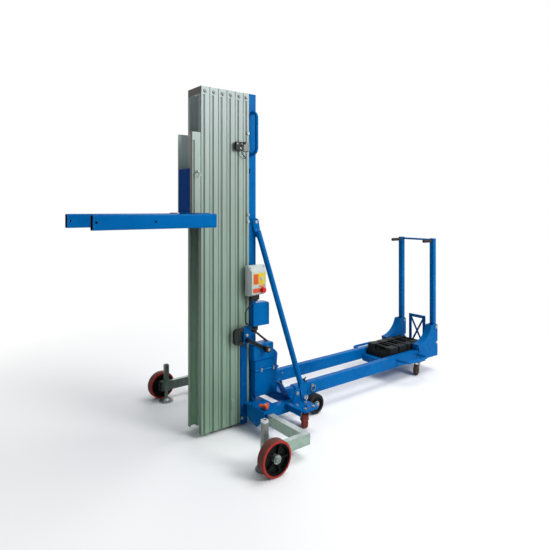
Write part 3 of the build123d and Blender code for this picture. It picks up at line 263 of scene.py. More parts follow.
blue = powder_coat("blue_powder_coat", **BLUE)
# A deeper blue: painted shade on the channel at the foot of the mast.
shade_deep_blue = powder_coat("shade_deep_blue_coat", (0.0, 0.080, 0.275), (0.0, 0.064, 0.220), gloss=0.02)
# A navy: painted shade on the fork frame and its back panel, and on the dark slabs of the battery box.
shade_navy = powder_coat("shade_navy_coat", (0.0, 0.060, 0.270), (0.0, 0.050, 0.225), gloss=0.01)
# A lighter blue: a painted highlight on the outer edge of the battery rim.
highlight_blue = powder_coat("highlight_blue_coat", (0.01, 0.205, 0.520), (0.0, 0.170, 0.460), gloss=0.04)
print([coat.material.name for coat in (blue, shade_deep_blue, shade_navy, highlight_blue)])

# %% [markdown]
# The inside of the forks is coloured nearly black, as painted shade inside the tubes. It shows as dark
# spots in the pin holes and at the open tips. The finish tells inside from outside by how deep a point
# lies below the faces.

# %% Fork tubes
FORK_WIDTH, COAT_DEPTH = 0.040, 0.0032
TUBE_SHADE = (0.004, 0.005, 0.007)
fork_low, fork_high = (Vector(corner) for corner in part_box("forks"))
fork_coat = powder_coat("fork_powder_coat", **BLUE)
across = abs(fork_coat.along("Y"))
height = fork_coat.along("Z")
hollow = (across > fork_high.y - FORK_WIDTH + COAT_DEPTH) * (across < fork_high.y - COAT_DEPTH)
hollow = hollow * (height > fork_low.z + COAT_DEPTH) * (height < fork_high.z - COAT_DEPTH)
# Nearly black inside the tubes: painted shade.
fork_coat.patch(hollow, TUBE_SHADE)
print(fork_coat.material.name)

# %% [markdown]
# The posts of the push handle turn on plated bolts, which belong to the same solid as the posts. What
# stands out sideways past a post, low down where it is hinged, is a bolt, so there the coat gives way to
# bare metal.

# %% Push handle
POST_MID, POST_HALF, HINGE_TOP = 0.1555, 0.0195, 0.40
PALE_ZINC = (0.36, 0.385, 0.375)
handle_coat = powder_coat("handle_powder_coat", **BLUE)
past_post = abs(abs(handle_coat.along("Y")) - POST_MID)
hinge_bolt = (past_post > POST_HALF) * (handle_coat.along("Z") < HINGE_TOP)
handle_coat.patch(hinge_bolt, PALE_ZINC)
handle_coat.shade(Metallic=hinge_bolt * 0.4)
print(handle_coat.material.name)

# %% [markdown]
# The mast is extruded aluminium, anodised to a pale grey with a trace of green. The die leaves fine lines
# along the length, so the noise is squeezed across the section and drawn out in height. Patches add
# painted shade in the rolled grooves, whose floor lies 3 mm below the flank; a greener tone toward the
# floor; and painted light inside the channels at head and foot, which leaves mid height in painted shadow.
# The lips of the front section are darkened as painted shade. The carriage's front flank edges and the bar
# across the head are brown: painted shade with a painted brown reflection.

# %% Anodised aluminium
# Bands are metres out from the middle of the mast, or metres above the floor.
INSIDE_WALL, GROOVE_FROM, GROOVE_TO = (0.0735, 0.0741), (0.0742, 0.0746), (0.0756, 0.0777)
FLANK_FROM = 0.076
GREEN_BELOW, HEAD_FROM, FOOT_TO = (0.1, 1.9), (1.2, 1.65), (0.50, 1.15)
LIP_DEPTH, BAR_HEIGHT, EDGE_WIDTH = 0.002, 0.042, 0.010
mast_low, mast_high = (Vector(corner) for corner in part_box("mast_section_6"))
alloy = Finish("anodised_aluminium")
lines = alloy.noise(60, detail=5, stretch=(6.0, 6.0, 0.05), rough=0.7)
cloud = alloy.noise(3.5, detail=3, stretch=(1, 1, 0.4))
out_by, front, rise = abs(alloy.along("Y")), alloy.along("X"), alloy.along("Z")
groove = alloy.between(out_by, *GROOVE_FROM) * (1 - alloy.between(out_by, *GROOVE_TO))
lit_head_and_foot = alloy.between(rise, *HEAD_FROM) + 0.5 * (1 - alloy.between(rise, *FOOT_TO))
inside = (1 - alloy.between(out_by, *INSIDE_WALL)) * lit_head_and_foot
ahead = front < mast_low.x + LIP_DEPTH
lips_in_painted_shade = ahead * (front > mast_low.x - LIP_DEPTH)
flank_edge_shade = (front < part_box("carriage")[0][0] + EDGE_WIDTH) * (out_by > FLANK_FROM)
head_bar_shade = ahead * (rise > mast_high.z - BAR_HEIGHT)
drawn = alloy.mix(alloy.between(lines, 0.3, 0.7), (0.180, 0.217, 0.208), (0.252, 0.292, 0.283))
alloy.shade(Base_Color=drawn, Metallic=0.55 - 0.45 * head_bar_shade, Roughness=0.42 + 0.16 * lines,
            Normal=alloy.bump(lines, 0.12, 0.0004))
alloy.patch(alloy.between(cloud, 0.45, 0.75) * 0.5, (0.158, 0.190, 0.177))
# The groove floors are darkened: painted shade in the grooves.
alloy.patch(groove * 0.62, (0.046, 0.057, 0.054))
alloy.patch(1 - alloy.between(rise, *GREEN_BELOW), (1.10, 1.42, 1.09), "MULTIPLY")
# Inside the channels the colour is raised at head and foot as painted light; mid height keeps painted shadow.
alloy.patch(inside, (2.15, 2.0, 2.1), "MULTIPLY")
# The front faces of the lips are darkened: painted shade.
alloy.patch(lips_in_painted_shade, (0.40, 0.40, 0.40), "MULTIPLY")
# The front edge of the carriage's flanks is brown: painted shade with a painted brown reflection.
alloy.patch(flank_edge_shade, (0.052, 0.032, 0.027))
# The bar across the head is dark brown and less metallic: painted shade with a painted brown reflection.
alloy.patch(head_bar_shade * (0.85 + 0.15 * cloud), (0.052, 0.036, 0.030))
print(alloy.material.name)

# %% [markdown]
# Outriggers, caster yokes and bolts are zinc plated. Plating keeps a faint spangle of crystal patches and
# dulls to white bloom where water has stood, so small cells set the tone and a slow noise adds the bloom.
# The left outrigger is the brightest; painted shade darkens its flanks and tints them green. The right one
# and its jack get a dark copy of the plate as painted shade, all but the foot. The left jack and the ring
# pins get a duller plate, partly painted shade, with a pale band at the jack's socket. Casters and head
# bolts are a dark metal with a mottled tone.

# %% Zinc plate
UPWARD = (0.4, 0.8)                                         # share of the normal that points up
JACK_SOCKET, JACK_FOOT = (0.234, 0.237), (0.020, 0.028)     # metres above the floor


def plated(name, dark, pale):
    plate = Finish(name)
    cells = plate.node("ShaderNodeTexVoronoi", {}, {"Vector": plate.place(), "Scale": 90}, out="Color")
    spangle = plate.node("ShaderNodeSeparateColor", {}, {0: cells})
    bloom = plate.between(plate.noise(9, detail=5), 0.5, 0.75)
    plate.shade(Base_Color=plate.mix(spangle, dark, pale), Metallic=0.42 - 0.2 * bloom,
                Roughness=0.30 + 0.10 * spangle + 0.22 * bloom,
                Normal=plate.bump(plate.noise(300, detail=3), 0.08, 0.0004))
    plate.patch(bloom * 0.4, [c * 1.25 for c in pale])
    return plate


zinc = plated("zinc_plate", (0.25, 0.27, 0.265), PALE_ZINC)
bright = plated("bright_zinc", (0.36, 0.40, 0.385), (0.47, 0.515, 0.495))
# Faces that do not point up are darkened and tinted green: painted shade on the flanks.
bright.patch(1 - bright.between(bright.along("Z", "Normal"), *UPWARD), (0.70, 0.86, 0.75), "MULTIPLY")
# A dark copy of the plate: painted shade on the right outrigger and its jack; the foot stays pale.
shaded = plated("shaded_zinc", (0.085, 0.118, 0.098), (0.120, 0.158, 0.134))
shaded.patch(1 - shaded.between(shaded.along("Z"), *JACK_FOOT), (0.27, 0.30, 0.285))
# A duller plate, darkened partly as painted shade on the left jack.
dull = plated("dull_zinc_and_shade", (0.135, 0.155, 0.145), (0.215, 0.240, 0.225))
dull.patch(dull.between(dull.along("Z"), *JACK_SOCKET), (0.56, 0.59, 0.60))
dark_metal = Finish("dark_bolt_metal")
oily = dark_metal.noise(55, detail=5, rough=0.7)
dark_metal.shade(Base_Color=dark_metal.mix(oily, (0.085, 0.095, 0.090), (0.20, 0.215, 0.205)), Metallic=0.85,
           Roughness=0.34 + 0.2 * oily, Normal=dark_metal.bump(dark_metal.noise(420, detail=3), 0.12, 0.0004))
print([metal.material.name for metal in (zinc, bright, shaded, dull, dark_metal)])


# %% [markdown]
# Each wheel is one solid, but it wears three finishes: a cast tread, a black core and a bare metal hub.
# The distance from the axle decides which is which, so one finish is made per wheel from its own centre.

# %% Wheels
BRICK, PLUM, SOOT = (0.42, 0.035, 0.028), (0.085, 0.030, 0.022), (0.022, 0.022, 0.024)
FLOOR_GRIME, HUB_METAL = (0.066, 0.053, 0.040), (0.30, 0.36, 0.33)
SIDES = {"left": -1, "right": 1}
# Tread grime is real dirt; on the outrigger wheels it is raised further as painted shade on the tread.
WHEELS = {
    "outrigger": {"colour": BRICK, "tread_from": 0.0775, "hub_to": 0.0222, "gloss": 0.34, "grime_and_shade": 0.95},
    "corner": {"colour": BRICK, "tread_from": 0.0355, "hub_to": 0.0145, "gloss": 0.36, "grime_and_shade": 0.7},
    "rear": {"colour": PLUM, "tread_from": 0.0275, "hub_to": 0.0125, "gloss": 0.36, "grime_and_shade": 0.6},
    "chassis": {"colour": SOOT, "tread_from": 0.044, "hub_to": 0.0205, "gloss": 0.5, "grime_and_shade": 0.25}}


def axis_of(body):
    return Vector(next(joint["axis"] for joint in frame["joints"] if joint["child"] == body))


def wheel_finish(name, colour, tread_from, hub_to, gloss, grime_and_shade):
    low, high = (Vector(corner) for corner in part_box(name))
    wheel = Finish(name + "_finish")

    def vector_math(operation, a, b, out=0):
        return wheel.node("ShaderNodeVectorMath", {"operation": operation}, {0: a, 1: b}, out=out)

    offset = vector_math("SUBTRACT", wheel.place(), (low + high) / 2)
    along = vector_math("DOT_PRODUCT", offset, axis_of(name), out="Value")
    reach = vector_math("DISTANCE", offset, (0, 0, 0), out="Value")
    radius = (reach * reach - along * along) ** 0.5
    tread = wheel.between(radius, tread_from - 0.0006, tread_from + 0.0006)
    hub = 1 - wheel.between(radius, hub_to - 0.0004, hub_to + 0.0004)
    edge = (high.z - low.z) / 2
    rim = wheel.between(radius, edge - 0.004, edge - 0.001)
    wear = rim * (0.65 + 0.35 * wheel.between(wheel.noise(70, detail=5), 0.35, 0.65))
    cast = wheel.mix(wheel.between(wheel.noise(22, detail=4), 0.3, 0.7), [c * 0.82 for c in colour], colour)
    core = wheel.mix(wheel.noise(40, detail=3), (0.003, 0.004, 0.003), (0.009, 0.010, 0.009))
    wheel.shade(Base_Color=wheel.mix(tread, core, wheel.mix(wear * grime_and_shade, cast, FLOOR_GRIME)),
                Metallic=hub * 0.85, Roughness=gloss + 0.25 * wear + 0.08 * wheel.noise(25, detail=2),
                Normal=wheel.bump(wheel.noise(240, detail=3), 0.12, 0.0005), Specular_IOR_Level=0.07)
    wheel.patch(hub, HUB_METAL)
    return wheel


wheel_looks = {kind + "_wheel_" + side: wheel_finish(kind + "_wheel_" + side, **look)
               for side in SIDES for kind, look in WHEELS.items()}
print(len(wheel_looks), "wheel finishes")

# %% [markdown]
# The rest are smaller: black painted castings with a coarse skin, moulded plastics with a fine spark-eroded
# grain, and rubber. Each gets its own scale of grain, because that is what tells them apart up close.

# %% Castings, plastics and rubber
iron = Finish("black_casting")
sand = iron.noise(260, detail=5, rough=0.7)
chip = iron.between(iron.noise(48, detail=6, rough=0.75), 0.63, 0.70)
iron.shade(Base_Color=iron.mix(chip * 0.6, (0.010, 0.012, 0.013), (0.062, 0.062, 0.060)),
           Roughness=0.42 + 0.20 * sand, Normal=iron.bump(sand, 0.45, 0.0012), Specular_IOR_Level=0.12)


def moulded(name, colour, shade, rough, grain, strength):
    plastic = Finish(name)
    mottle = plastic.between(plastic.noise(7, detail=4), 0.35, 0.7)
    grime = plastic.between(plastic.noise(30, detail=6, rough=0.7), 0.58, 0.75)
    plastic.shade(Base_Color=plastic.mix(mottle, shade, colour),
                  Roughness=rough + 0.12 * plastic.noise(18, detail=3) + 0.15 * grime,
                  Normal=plastic.bump(plastic.noise(grain, detail=2), strength, 0.0005),
                  Specular_IOR_Level=0.22)
    plastic.patch(grime * 0.25, [c * 0.55 + 0.02 for c in colour])
    return plastic


PRINTED = {"rough": 0.34, "grain": 400, "strength": 0.08}
black = moulded("black_plastic", (0.014, 0.015, 0.015), (0.009, 0.010, 0.010), 0.36, 700, 0.15)
rubber = moulded("black_rubber", (0.020, 0.020, 0.021), (0.030, 0.030, 0.030), 0.60, 500, 0.2)
grey = moulded("grey_enclosure", (0.46, 0.50, 0.475), (0.40, 0.44, 0.415), 0.40, 650, 0.12)
orange = moulded("orange_knob", (0.78, 0.115, 0.02), (0.66, 0.085, 0.015), 0.30, 400, 0.1)
red = moulded("red_button", (0.62, 0.015, 0.015), (0.50, 0.012, 0.012), 0.26, 400, 0.08)
yellow = moulded("yellow_plate", (0.60, 0.48, 0.02), (0.52, 0.40, 0.02), **PRINTED)
amber = moulded("amber_plate", (0.62, 0.25, 0.09), (0.55, 0.21, 0.07), **PRINTED)
coral = moulded("coral_plate", (0.58, 0.085, 0.03), (0.50, 0.07, 0.025), **PRINTED)
print(len(bpy.data.materials), "materials so far")

# %% [markdown]
# The two battery leads share a node, and so do the limit switch and its strap. A plane between the two tells
# the finish which side of it each point is on, and the side decides the colour.

# %% Battery leads and limit switch
STRAP_FROM = -0.0882
between_leads = sum(corner[1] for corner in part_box("battery_cables")) / 2
leads = Finish("battery_leads")
sheath = leads.noise(40, detail=3)
leads.shade(Base_Color=leads.mix(sheath, (0.012, 0.012, 0.013), (0.028, 0.028, 0.028)),
            Roughness=0.40 + 0.2 * sheath, Normal=leads.bump(leads.noise(500, detail=2), 0.15, 0.0004))
leads.patch(leads.along("Y") > between_leads, leads.mix(sheath, (0.32, 0.014, 0.010), (0.46, 0.022, 0.016)))
switch = Finish("limit_switch")
strap = switch.along("Y") > STRAP_FROM
grain = switch.noise(90, detail=4)
switch.shade(Base_Color=switch.mix(grain, (0.006, 0.007, 0.007), (0.012, 0.013, 0.013)),
             Metallic=strap * 0.4, Roughness=0.36 + 0.15 * grain,
             Normal=switch.bump(switch.noise(600, detail=2), 0.12, 0.0004), Specular_IOR_Level=0.22)
switch.patch(strap, switch.mix(grain, (0.125, 0.147, 0.137), (0.165, 0.190, 0.178)))
print(leads.material.name, switch.material.name)

# %% [markdown]
# Every CAD node names a material slot in the record. The slot picks its finish, and nodes that wear another
# tone or more than one colour have a finish of their own.

# %% Dress the CAD nodes
looks = {"blue_paint": blue, "anodised": alloy, "zinc": zinc, "black_iron": iron, "black_plastic": black,
         "black_rubber": rubber, "grey_plastic": grey, "orange_plastic": orange, "red_plastic": red}
own_looks = {**wheel_looks, "battery_cables": leads, "limit_switch": switch, "control_cable": black,
             "fork_frame": shade_navy, "forks": fork_coat, "push_handle": handle_coat,
             "mast_foot_channel": shade_deep_blue, "outrigger_left": bright, "outrigger_right": shaded,
             "jack_left": dull, "jack_right": shaded}
for side in SIDES:
    own_looks["ring_pin_" + side] = dull
    own_looks["corner_caster_" + side] = dark_metal
    own_looks["rear_caster_" + side] = dark_metal
slot_of = {entry["node"]: entry["material_slot"] for entry in frame["record"]["subparts"]}
for name, solid in nodes.items():
    look = own_looks.get(name) or looks[slot_of[name]]
    for slot in solid.material_slots:
        slot.material = look.material
print("dressed", len(nodes), "nodes")

# %% [markdown]
# Small parts start from the CAD nodes that they sit on. Sizes are in millimetres and stations count from
# the outrigger axle, the way a workshop drawing would give them. One helper turns such a place into the
# frame, and three read the boxes of the CAD nodes in the same terms.

# %% Helpers for places
def at(x, y, z):
    return Vector((x / 1000 + SHIFT, y / 1000, z / 1000))


def span(name):
    """Gives the two corners of a CAD node's box in millimetres."""
    return [(Vector(corner) - at(0, 0, 0)) * 1000 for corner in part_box(name)]


def middle(name):
    low, high = span(name)
    return (low + high) / 2


def outermost(name):
    """Gives how far a CAD node reaches out from the middle plane."""
    return max(abs(corner.y) for corner in span(name))


print("mast from", *(tuple(round(c) for c in corner) for corner in span("mast_section_6")))

# %% [markdown]
# Whatever a lathe or a mould makes round is a turned profile: rings of points about an axis, each joined to
# the next. That needs no modifier and gives the same points every time. A mesh becomes a piece once it has
# its finish, its slot and the body that it rides on.

# %% Helpers for shapes
SHARP_FROM = math.radians(35)


def build(name, body, look, bm):
    bmesh.ops.remove_doubles(bm, verts=bm.verts, dist=1e-6)
    bmesh.ops.recalc_face_normals(bm, faces=bm.faces)
    mesh = bpy.data.meshes.new(name)
    bm.to_mesh(mesh)
    bm.free()
    mesh.shade_smooth()
    mesh.set_sharp_from_angle(angle=SHARP_FROM)
    mesh.materials.append(look.material)
    piece = bpy.data.objects.new(name, mesh)
    bpy.context.collection.objects.link(piece)
    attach(piece, body)
    return piece


def wrap(bm, loops, closed=False):
    """Joins each loop of points to the next; a closed run meets its start, another gets two ends."""
    following = loops[1:] + loops[:1] if closed else loops[1:]
    for lower, upper in zip(loops, following):
        count = len(lower)
        for k in range(count):
            after = (k + 1) % count
            bm.faces.new((lower[k], lower[after], upper[after], upper[k]))
    if not closed:
        for end in (loops[0], loops[-1]):
            bm.faces.new(end)


def circle(steps):
    return [(math.cos(math.tau * k / steps), math.sin(math.tau * k / steps)) for k in range(steps)]


def turn(bm, centre, axis, profile, steps=40, bored=False):
    """Adds a turned solid from (height along the axis, radius) in millimetres; a bored one is a ring."""
    swing = Vector((0, 0, 1)).rotation_difference(Vector(axis))
    rings = []
    for height, radius in profile:
        points = [Vector((radius * c, radius * s, height)) / 1000 for c, s in circle(steps)]
        rings.append([bm.verts.new(Vector(centre) + swing @ point) for point in points])
    wrap(bm, rings, closed=bored)


print("turned shapes ready")

# %% [markdown]
# The outrigger and chassis wheels turn on plain axles that end in pressed caps. The crank knob shows the
# head of the screw that it turns on. A turned profile lists heights along the axis with their radii.

# %% Axle caps and knob screw
DUST_CAP = [(-1, 15), (2, 15), (4, 13.5), (5, 10), (5, 5), (3.6, 4), (3.6, 0.4)]
AXLE_CAP = [(-1, 11), (2, 11), (4, 9), (5, 5), (5, 0.4)]
KNOB_SCREW = [(-1, 9), (1.2, 9), (1.2, 6), (3.6, 5.6), (4.2, 4), (4.2, 2), (2.6, 1.6)]
AXLE_PROUD = 0.5
for side, s in SIDES.items():
    hub = middle("outrigger_wheel_" + side)
    bm = bmesh.new()
    turn(bm, at(hub.x, s * outermost("outrigger_" + side), hub.z), (0, s, 0), DUST_CAP)
    build("dust_cap_" + side, "outrigger_" + side, dull, bm)
    hub = middle("chassis_wheel_" + side)
    bm = bmesh.new()
    turn(bm, at(hub.x, s * (outermost("chassis_beam_" + side) + AXLE_PROUD), hub.z), (0, s, 0), AXLE_CAP)
    build("chassis_axle_cap_" + side, "chassis", zinc, bm)
knob = middle("crank_knob")
bm = bmesh.new()
turn(bm, at(knob.x, -outermost("crank_knob"), knob.z), (0, -1, 0), KNOB_SCREW)
build("knob_screw", "crank_knob", zinc, bm)
print("caps on four wheels, a screw in the knob")

# %% [markdown]
# Every mast section has a bolt through its head, with a washer under the bolt head on each flank. The
# sections stand at an even pitch, so one loop reaches all six.

# %% Head bolts
HEAD_WASHER = [(-0.5, 13), (1.4, 13), (2, 12.4), (2, 9.9)]
BOLT_END = [(-1, 5), (2.2, 5), (3, 4.2), (3, 0.4)]
SECTIONS, FLANK, BOLT_DOWN = 6, 78, 26
FIRST_BOLT_BACK, BOLT_BACK = 21, 28.25
bolt_out = outermost("mast_section_1")
mast_front, mast_top = span("mast_section_6")[0].x, span("mast_section_6")[1].z
pitch = (span("mast_section_1")[0].x - mast_front) / (SECTIONS - 1)
for number in range(1, SECTIONS + 1):
    x = mast_front + (SECTIONS - number) * pitch + (FIRST_BOLT_BACK if number == 1 else BOLT_BACK)
    z = mast_top - BOLT_DOWN
    bm = bmesh.new()
    for s in SIDES.values():
        turn(bm, at(x, s * FLANK, z), (0, s, 0), HEAD_WASHER, steps=32)
        turn(bm, at(x, s * bolt_out, z), (0, s, 0), BOLT_END, steps=20)
    build("head_washers_%d" % number, "chassis" if number == 1 else "stage_%d" % number, dark_metal, bm)
print("washers on six sections at a pitch of", round(pitch, 1), "mm")

# %% [markdown]
# Welded joints carry a bead: a small rounded fillet with the ripple of each weld pool. The bead is a tube
# along the joint whose radius swells and narrows every few millimetres; a bump alone would leave the corner
# sharp. Each row names a joint and gives the radius of its bead and the points that it runs through on the
# right-hand side, and the left one mirrors it.

# %% Weld beads
RIPPLE = 5.0
BEAD, SLIM, FINE = 3.2, 2.6, 2.4
FORK_BEAD = 2.8
FRAME_WELDS = {
    "gusset on the flank of the beam": (BEAD, (1800, 180, 190), (1828, 180, 116), (2042, 180, 116)),
    "gusset wall on the top of the beam": (BEAD, (1787, 138, 192.5), (1787, 176, 192.5)),
    "strut bracket on the corner plate": (BEAD, (418, 287, 141), (518, 287, 141)),
    "wheel bracket on the beam": (BEAD, (626, 180, 145), (694, 180, 145)),
    "column gusset on the deck": (BEAD, (256, 42, 141), (256, 108, 141)),
    "corner plate against the rail": (SLIM, (392, 246, 141), (516, 246, 141)),
    "outer edge of the deck": (SLIM, (206, 288, 141), (284, 288, 141)),
    "column on the deck": (BEAD, (245, 41, 140.5), (318, 41, 140.5)),
    "strut lug on the column": (FINE, (268, 41, 1203), (308, 41, 1203))}
ARM_WELDS = {
    "jack sleeve on the arm": (FINE, (-15, 575, 125.5), (15, 575, 125.5)),
    "corner between the arms": (SLIM, (224.5, 574.5, 68), (224.5, 574.5, 122)),
    "axle plate on the arm": (FINE, (-28, 606, 125.5), (28, 606, 125.5))}
FORK_WELDS = {
    "fork on its frame, above": (FORK_BEAD, (-152, 189, 1280.5), (-100, 189, 1280.5)),
    "fork on its frame, ahead": (FORK_BEAD, (-157, 189, 1212), (-157, 189, 1274))}
CARRIAGE_FOOT = ((-153.5, -66, 1283.5), (-153.5, 66, 1283.5))


def bead(bm, points, radius):
    points = [at(*p) for p in points]
    for a, b in zip(points, points[1:]):
        run = b - a
        count = max(4, int(run.length * 1000 / RIPPLE) * 2)
        aside = run.normalized().orthogonal()
        other = run.normalized().cross(aside)
        rings = []
        for i in range(count + 1):
            swell = radius * (1.0 + 0.16 * math.sin(math.pi * i + 0.8) + 0.07 * math.sin(i * 1.7)) / 1000
            if i in (0, count):
                swell *= 0.35
            centre = a + run * (i / count)
            rings.append([bm.verts.new(centre + swell * (c * aside + n * other)) for c, n in circle(8)])
        wrap(bm, rings)


def weld(bm, joints, sides):
    for s in sides:
        for radius, *points in joints.values():
            bead(bm, [(x, s * y, z) for x, y, z in points], radius)


bm = bmesh.new()
weld(bm, FRAME_WELDS, SIDES.values())
build("frame_welds", "chassis", blue, bm)
for side, s in SIDES.items():
    bm = bmesh.new()
    weld(bm, ARM_WELDS, [s])
    build("outrigger_welds_" + side, "outrigger_" + side, own_looks["outrigger_" + side], bm)
bm = bmesh.new()
weld(bm, FORK_WELDS, SIDES.values())
bead(bm, CARRIAGE_FOOT, FINE)
build("fork_welds", "carriage", blue, bm)
print(2 * (len(FRAME_WELDS) + len(ARM_WELDS) + len(FORK_WELDS)) + 1, "welded joints")

# %% [markdown]
# The control box is a grey moulded enclosure turned a little toward the operator, as the axis of its stop
# button tells. Places on it are counted across, through and up the box, and one matrix turns them into the
# frame. Cover screws sit in round corner bosses; a screw is a turned profile with fixed proportions.

# %% Control box corners
BOX_CORNER = (195, -104)                        # station and side of the edge that the box is turned about
BOX_WIDTH, BOX_FOOT, BOX_TOP = 135, 787, 964
BOSS_IN, BOSS_UP, BOSS_DOWN = 11, 9, 11
BOSS_FROM, BOSS_FACE = -27, -37
BOSS = [(-1, 8.5), (9, 8), (10, 7), (10, 0.4)]
press = axis_of("e_stop_button")
FRONT = -press
ANGLE = math.atan2(-press.x, press.y)
TURN = Matrix.Translation(at(*BOX_CORNER, 0)) @ Matrix.Rotation(ANGLE, 4, "Z")


def on_box(u, v, z):
    return TURN @ Vector((u / 1000, v / 1000, z / 1000))


def screw(bm, centre, axis, radius, height):
    """Adds a pan-head screw with a washer under it."""
    washer, seat = radius * 1.45, height * 0.25
    head = [(seat, radius), (height * 0.7, radius * 0.96), (height, radius * 0.6)]
    recess = [(height, radius * 0.25), (height * 0.6, radius * 0.2)]
    turn(bm, centre, axis, [(-0.5, washer), (seat, washer)] + head + recess, steps=24)


bosses = [(u, z) for u in (BOSS_IN, BOX_WIDTH - BOSS_IN) for z in (BOX_FOOT + BOSS_UP, BOX_TOP - BOSS_DOWN)]
bm = bmesh.new()
for u, z in bosses:
    turn(bm, on_box(u, BOSS_FROM, z), FRONT, BOSS, steps=28)
build("corner_bosses", "chassis", grey, bm)
bm = bmesh.new()
for u, z in bosses:
    screw(bm, on_box(u, BOSS_FACE, z), FRONT, radius=3.6, height=2.2)
build("enclosure_screws", "chassis", zinc, bm)
print("box turned by", round(math.degrees(ANGLE), 1), "degrees")

# %% [markdown]
# The front carries a plain yellow button plate with a red field and one grey push button, and two plain
# strips. Plates are thin slabs with bevelled edges, because a coloured area on the shell would have no rim
# to catch the light.

# %% Control box front
PLATES = (("button_plate", yellow, "grey_plastic", (17, -51.2, 852), (119, -49.2, 919), 0.9),
          ("red_field", coral, "red_plastic", (21, -51.8, 856), (62, -50.8, 915), 0.4),
          ("amber_strip", amber, "orange_plastic", (68, -51.0, 834), (117, -49.2, 848), 0.8),
          ("coral_strip", coral, "red_plastic", (17, -51.2, 803), (78, -49.2, 830), 0.9))
PUSH_AT = (88, -51, 886)
PUSH_BUTTON = [(-0.5, 12), (2, 12), (3, 11), (3, 9), (6, 9), (7, 8), (7, 0.4)]
HERE = Matrix.Translation(at(0, 0, 0))


def slab(bm, low, high, round_by, turned_by=HERE):
    """Adds a box between two corners, in millimetres, with rounded edges."""
    low, high = Vector(low) / 1000, Vector(high) / 1000
    made = bmesh.ops.create_cube(bm, size=1)["verts"]
    for v in made:
        v.co = Vector([l + (h - l) * (c + 0.5) for l, h, c in zip(low, high, v.co)])
    edges = {e for v in made for e in v.link_edges}
    out = bmesh.ops.bevel(bm, geom=list(edges), offset=round_by / 1000, segments=3, profile=0.5,
                          affect="EDGES")
    grown = {v for f in out["faces"] for v in f.verts} | {v for v in made if v.is_valid}
    for v in grown:
        v.co = turned_by @ v.co


for name, look, slot, low, high, round_by in PLATES:
    bm = bmesh.new()
    slab(bm, low, high, round_by, TURN)
    build(name, "chassis", look, bm)
bm = bmesh.new()
turn(bm, on_box(*PUSH_AT), FRONT, PUSH_BUTTON)
build("push_button", "chassis", grey, bm)
print("control box fitted with", len(PLATES), "plates")

# %% [markdown]
# A narrow band marks the seam between the halves of the box. A real seam is a groove, but the CAD meshes
# stay uncut, so the band lies around the shell instead. The collar of the red stop button is a bored ring,
# which leaves room for the button to be pressed. A black cable entry with two glands hangs underneath.

# %% Control box seam, collar and cable entry
# The section of the seam band: how proud of the box, and where across its depth, with the front at -50.
SEAM = ((1.0, -30.0), (1.0, -26.5), (-3.0, -26.5), (-3.0, -30.0))
STOP_AT = (95, -50, 816)
STOP_COLLAR = [(-0.5, 9), (-0.5, 18.6), (3.4, 18.6), (3.8, 18.2), (3.8, 17.1), (3.4, 16.7), (0.7, 16.7),
               (0.7, 9)]
ENTRY = ((24, -31, 756), (92, -5, 786))
ENTRY_LID = ((28, -32.5, 762), (88, -30, 780))
GLAND = [(-3, 9.4), (0, 9.4), (2.5, 7.5), (2.5, 4.2)]
GLANDS_AT, GLAND_DEPTH, NUT_Z, GLAND_Z = (36, 78), -14, 756.5, 748


def hex_nut(bm, centre, axis, across_flats, height):
    """Adds a hexagon nut with a chamfered top on a plain washer."""
    r = across_flats / 2 / math.cos(math.pi / 6)
    turn(bm, centre, axis, [(-0.5, r * 1.15), (1.5, r * 1.15), (1.5, r * 0.9)], steps=28)
    turn(bm, centre, axis, [(1.5, r), (height - 1, r), (height, r * 0.86)], steps=6)


bm = bmesh.new()
loops = []
for proud, v in SEAM:
    left, right, foot, top = -proud, BOX_WIDTH + proud, BOX_FOOT - proud, BOX_TOP + proud
    corners = ((left, foot), (right, foot), (right, top), (left, top))
    loops.append([bm.verts.new(on_box(u, v, z)) for u, z in corners])
wrap(bm, loops, closed=True)
bmesh.ops.bevel(bm, geom=list(bm.edges), offset=0.0009, segments=2, profile=0.5, affect="EDGES")
build("enclosure_seam", "chassis", grey, bm)
bm = bmesh.new()
turn(bm, on_box(*STOP_AT), FRONT, STOP_COLLAR, bored=True)
build("stop_collar", "chassis", coral, bm)
bm = bmesh.new()
slab(bm, *ENTRY, round_by=4.0, turned_by=TURN)
slab(bm, *ENTRY_LID, round_by=1.0, turned_by=TURN)
for u in GLANDS_AT:
    hex_nut(bm, on_box(u, GLAND_DEPTH, NUT_Z), (0, 0, -1), across_flats=22, height=6)
    turn(bm, on_box(u, GLAND_DEPTH, GLAND_Z), (0, 0, -1), GLAND, steps=24)
build("cable_entry", "chassis", black, bm)
print("seam band, stop collar and", len(GLANDS_AT), "glands")

# %% [markdown]
# A limit switch watches the first moving section. It has two fixing screws and a roller on a short lever.
# The lever is laid out level and then turned about its pivot, which is easier than slanted corners.

# %% Limit switch fittings
SCREWS_BACK, SCREWS_DOWN = (10, 44), 11
PIVOT_BACK, PIVOT_DOWN = 32, 39
LEVER_ANGLE, LEVER_REACH, LEVER_PROUD = -52, 42, 3
PIVOT = [(-1, 7), (5, 7), (6, 5), (6, 0.4)]
ROLLER = [(-2, 8), (7, 8), (8, 7), (8, 0.4)]
switch_front, switch_face = span("limit_switch")[0].x, span("limit_switch")[0].y
switch_top = span("limit_switch")[1].z
pivot_x, pivot_z = switch_front + PIVOT_BACK, switch_top - PIVOT_DOWN
bm = bmesh.new()
for back in SCREWS_BACK:
    spot = at(switch_front + back, switch_face, switch_top - SCREWS_DOWN)
    screw(bm, spot, (0, -1, 0), radius=3.4, height=2.6)
turn(bm, at(pivot_x, switch_face, pivot_z), (0, -1, 0), PIVOT, steps=24)
build("switch_screws", "chassis", zinc, bm)
bm = bmesh.new()
lever = Matrix.Translation(at(pivot_x, switch_face - LEVER_PROUD, pivot_z))
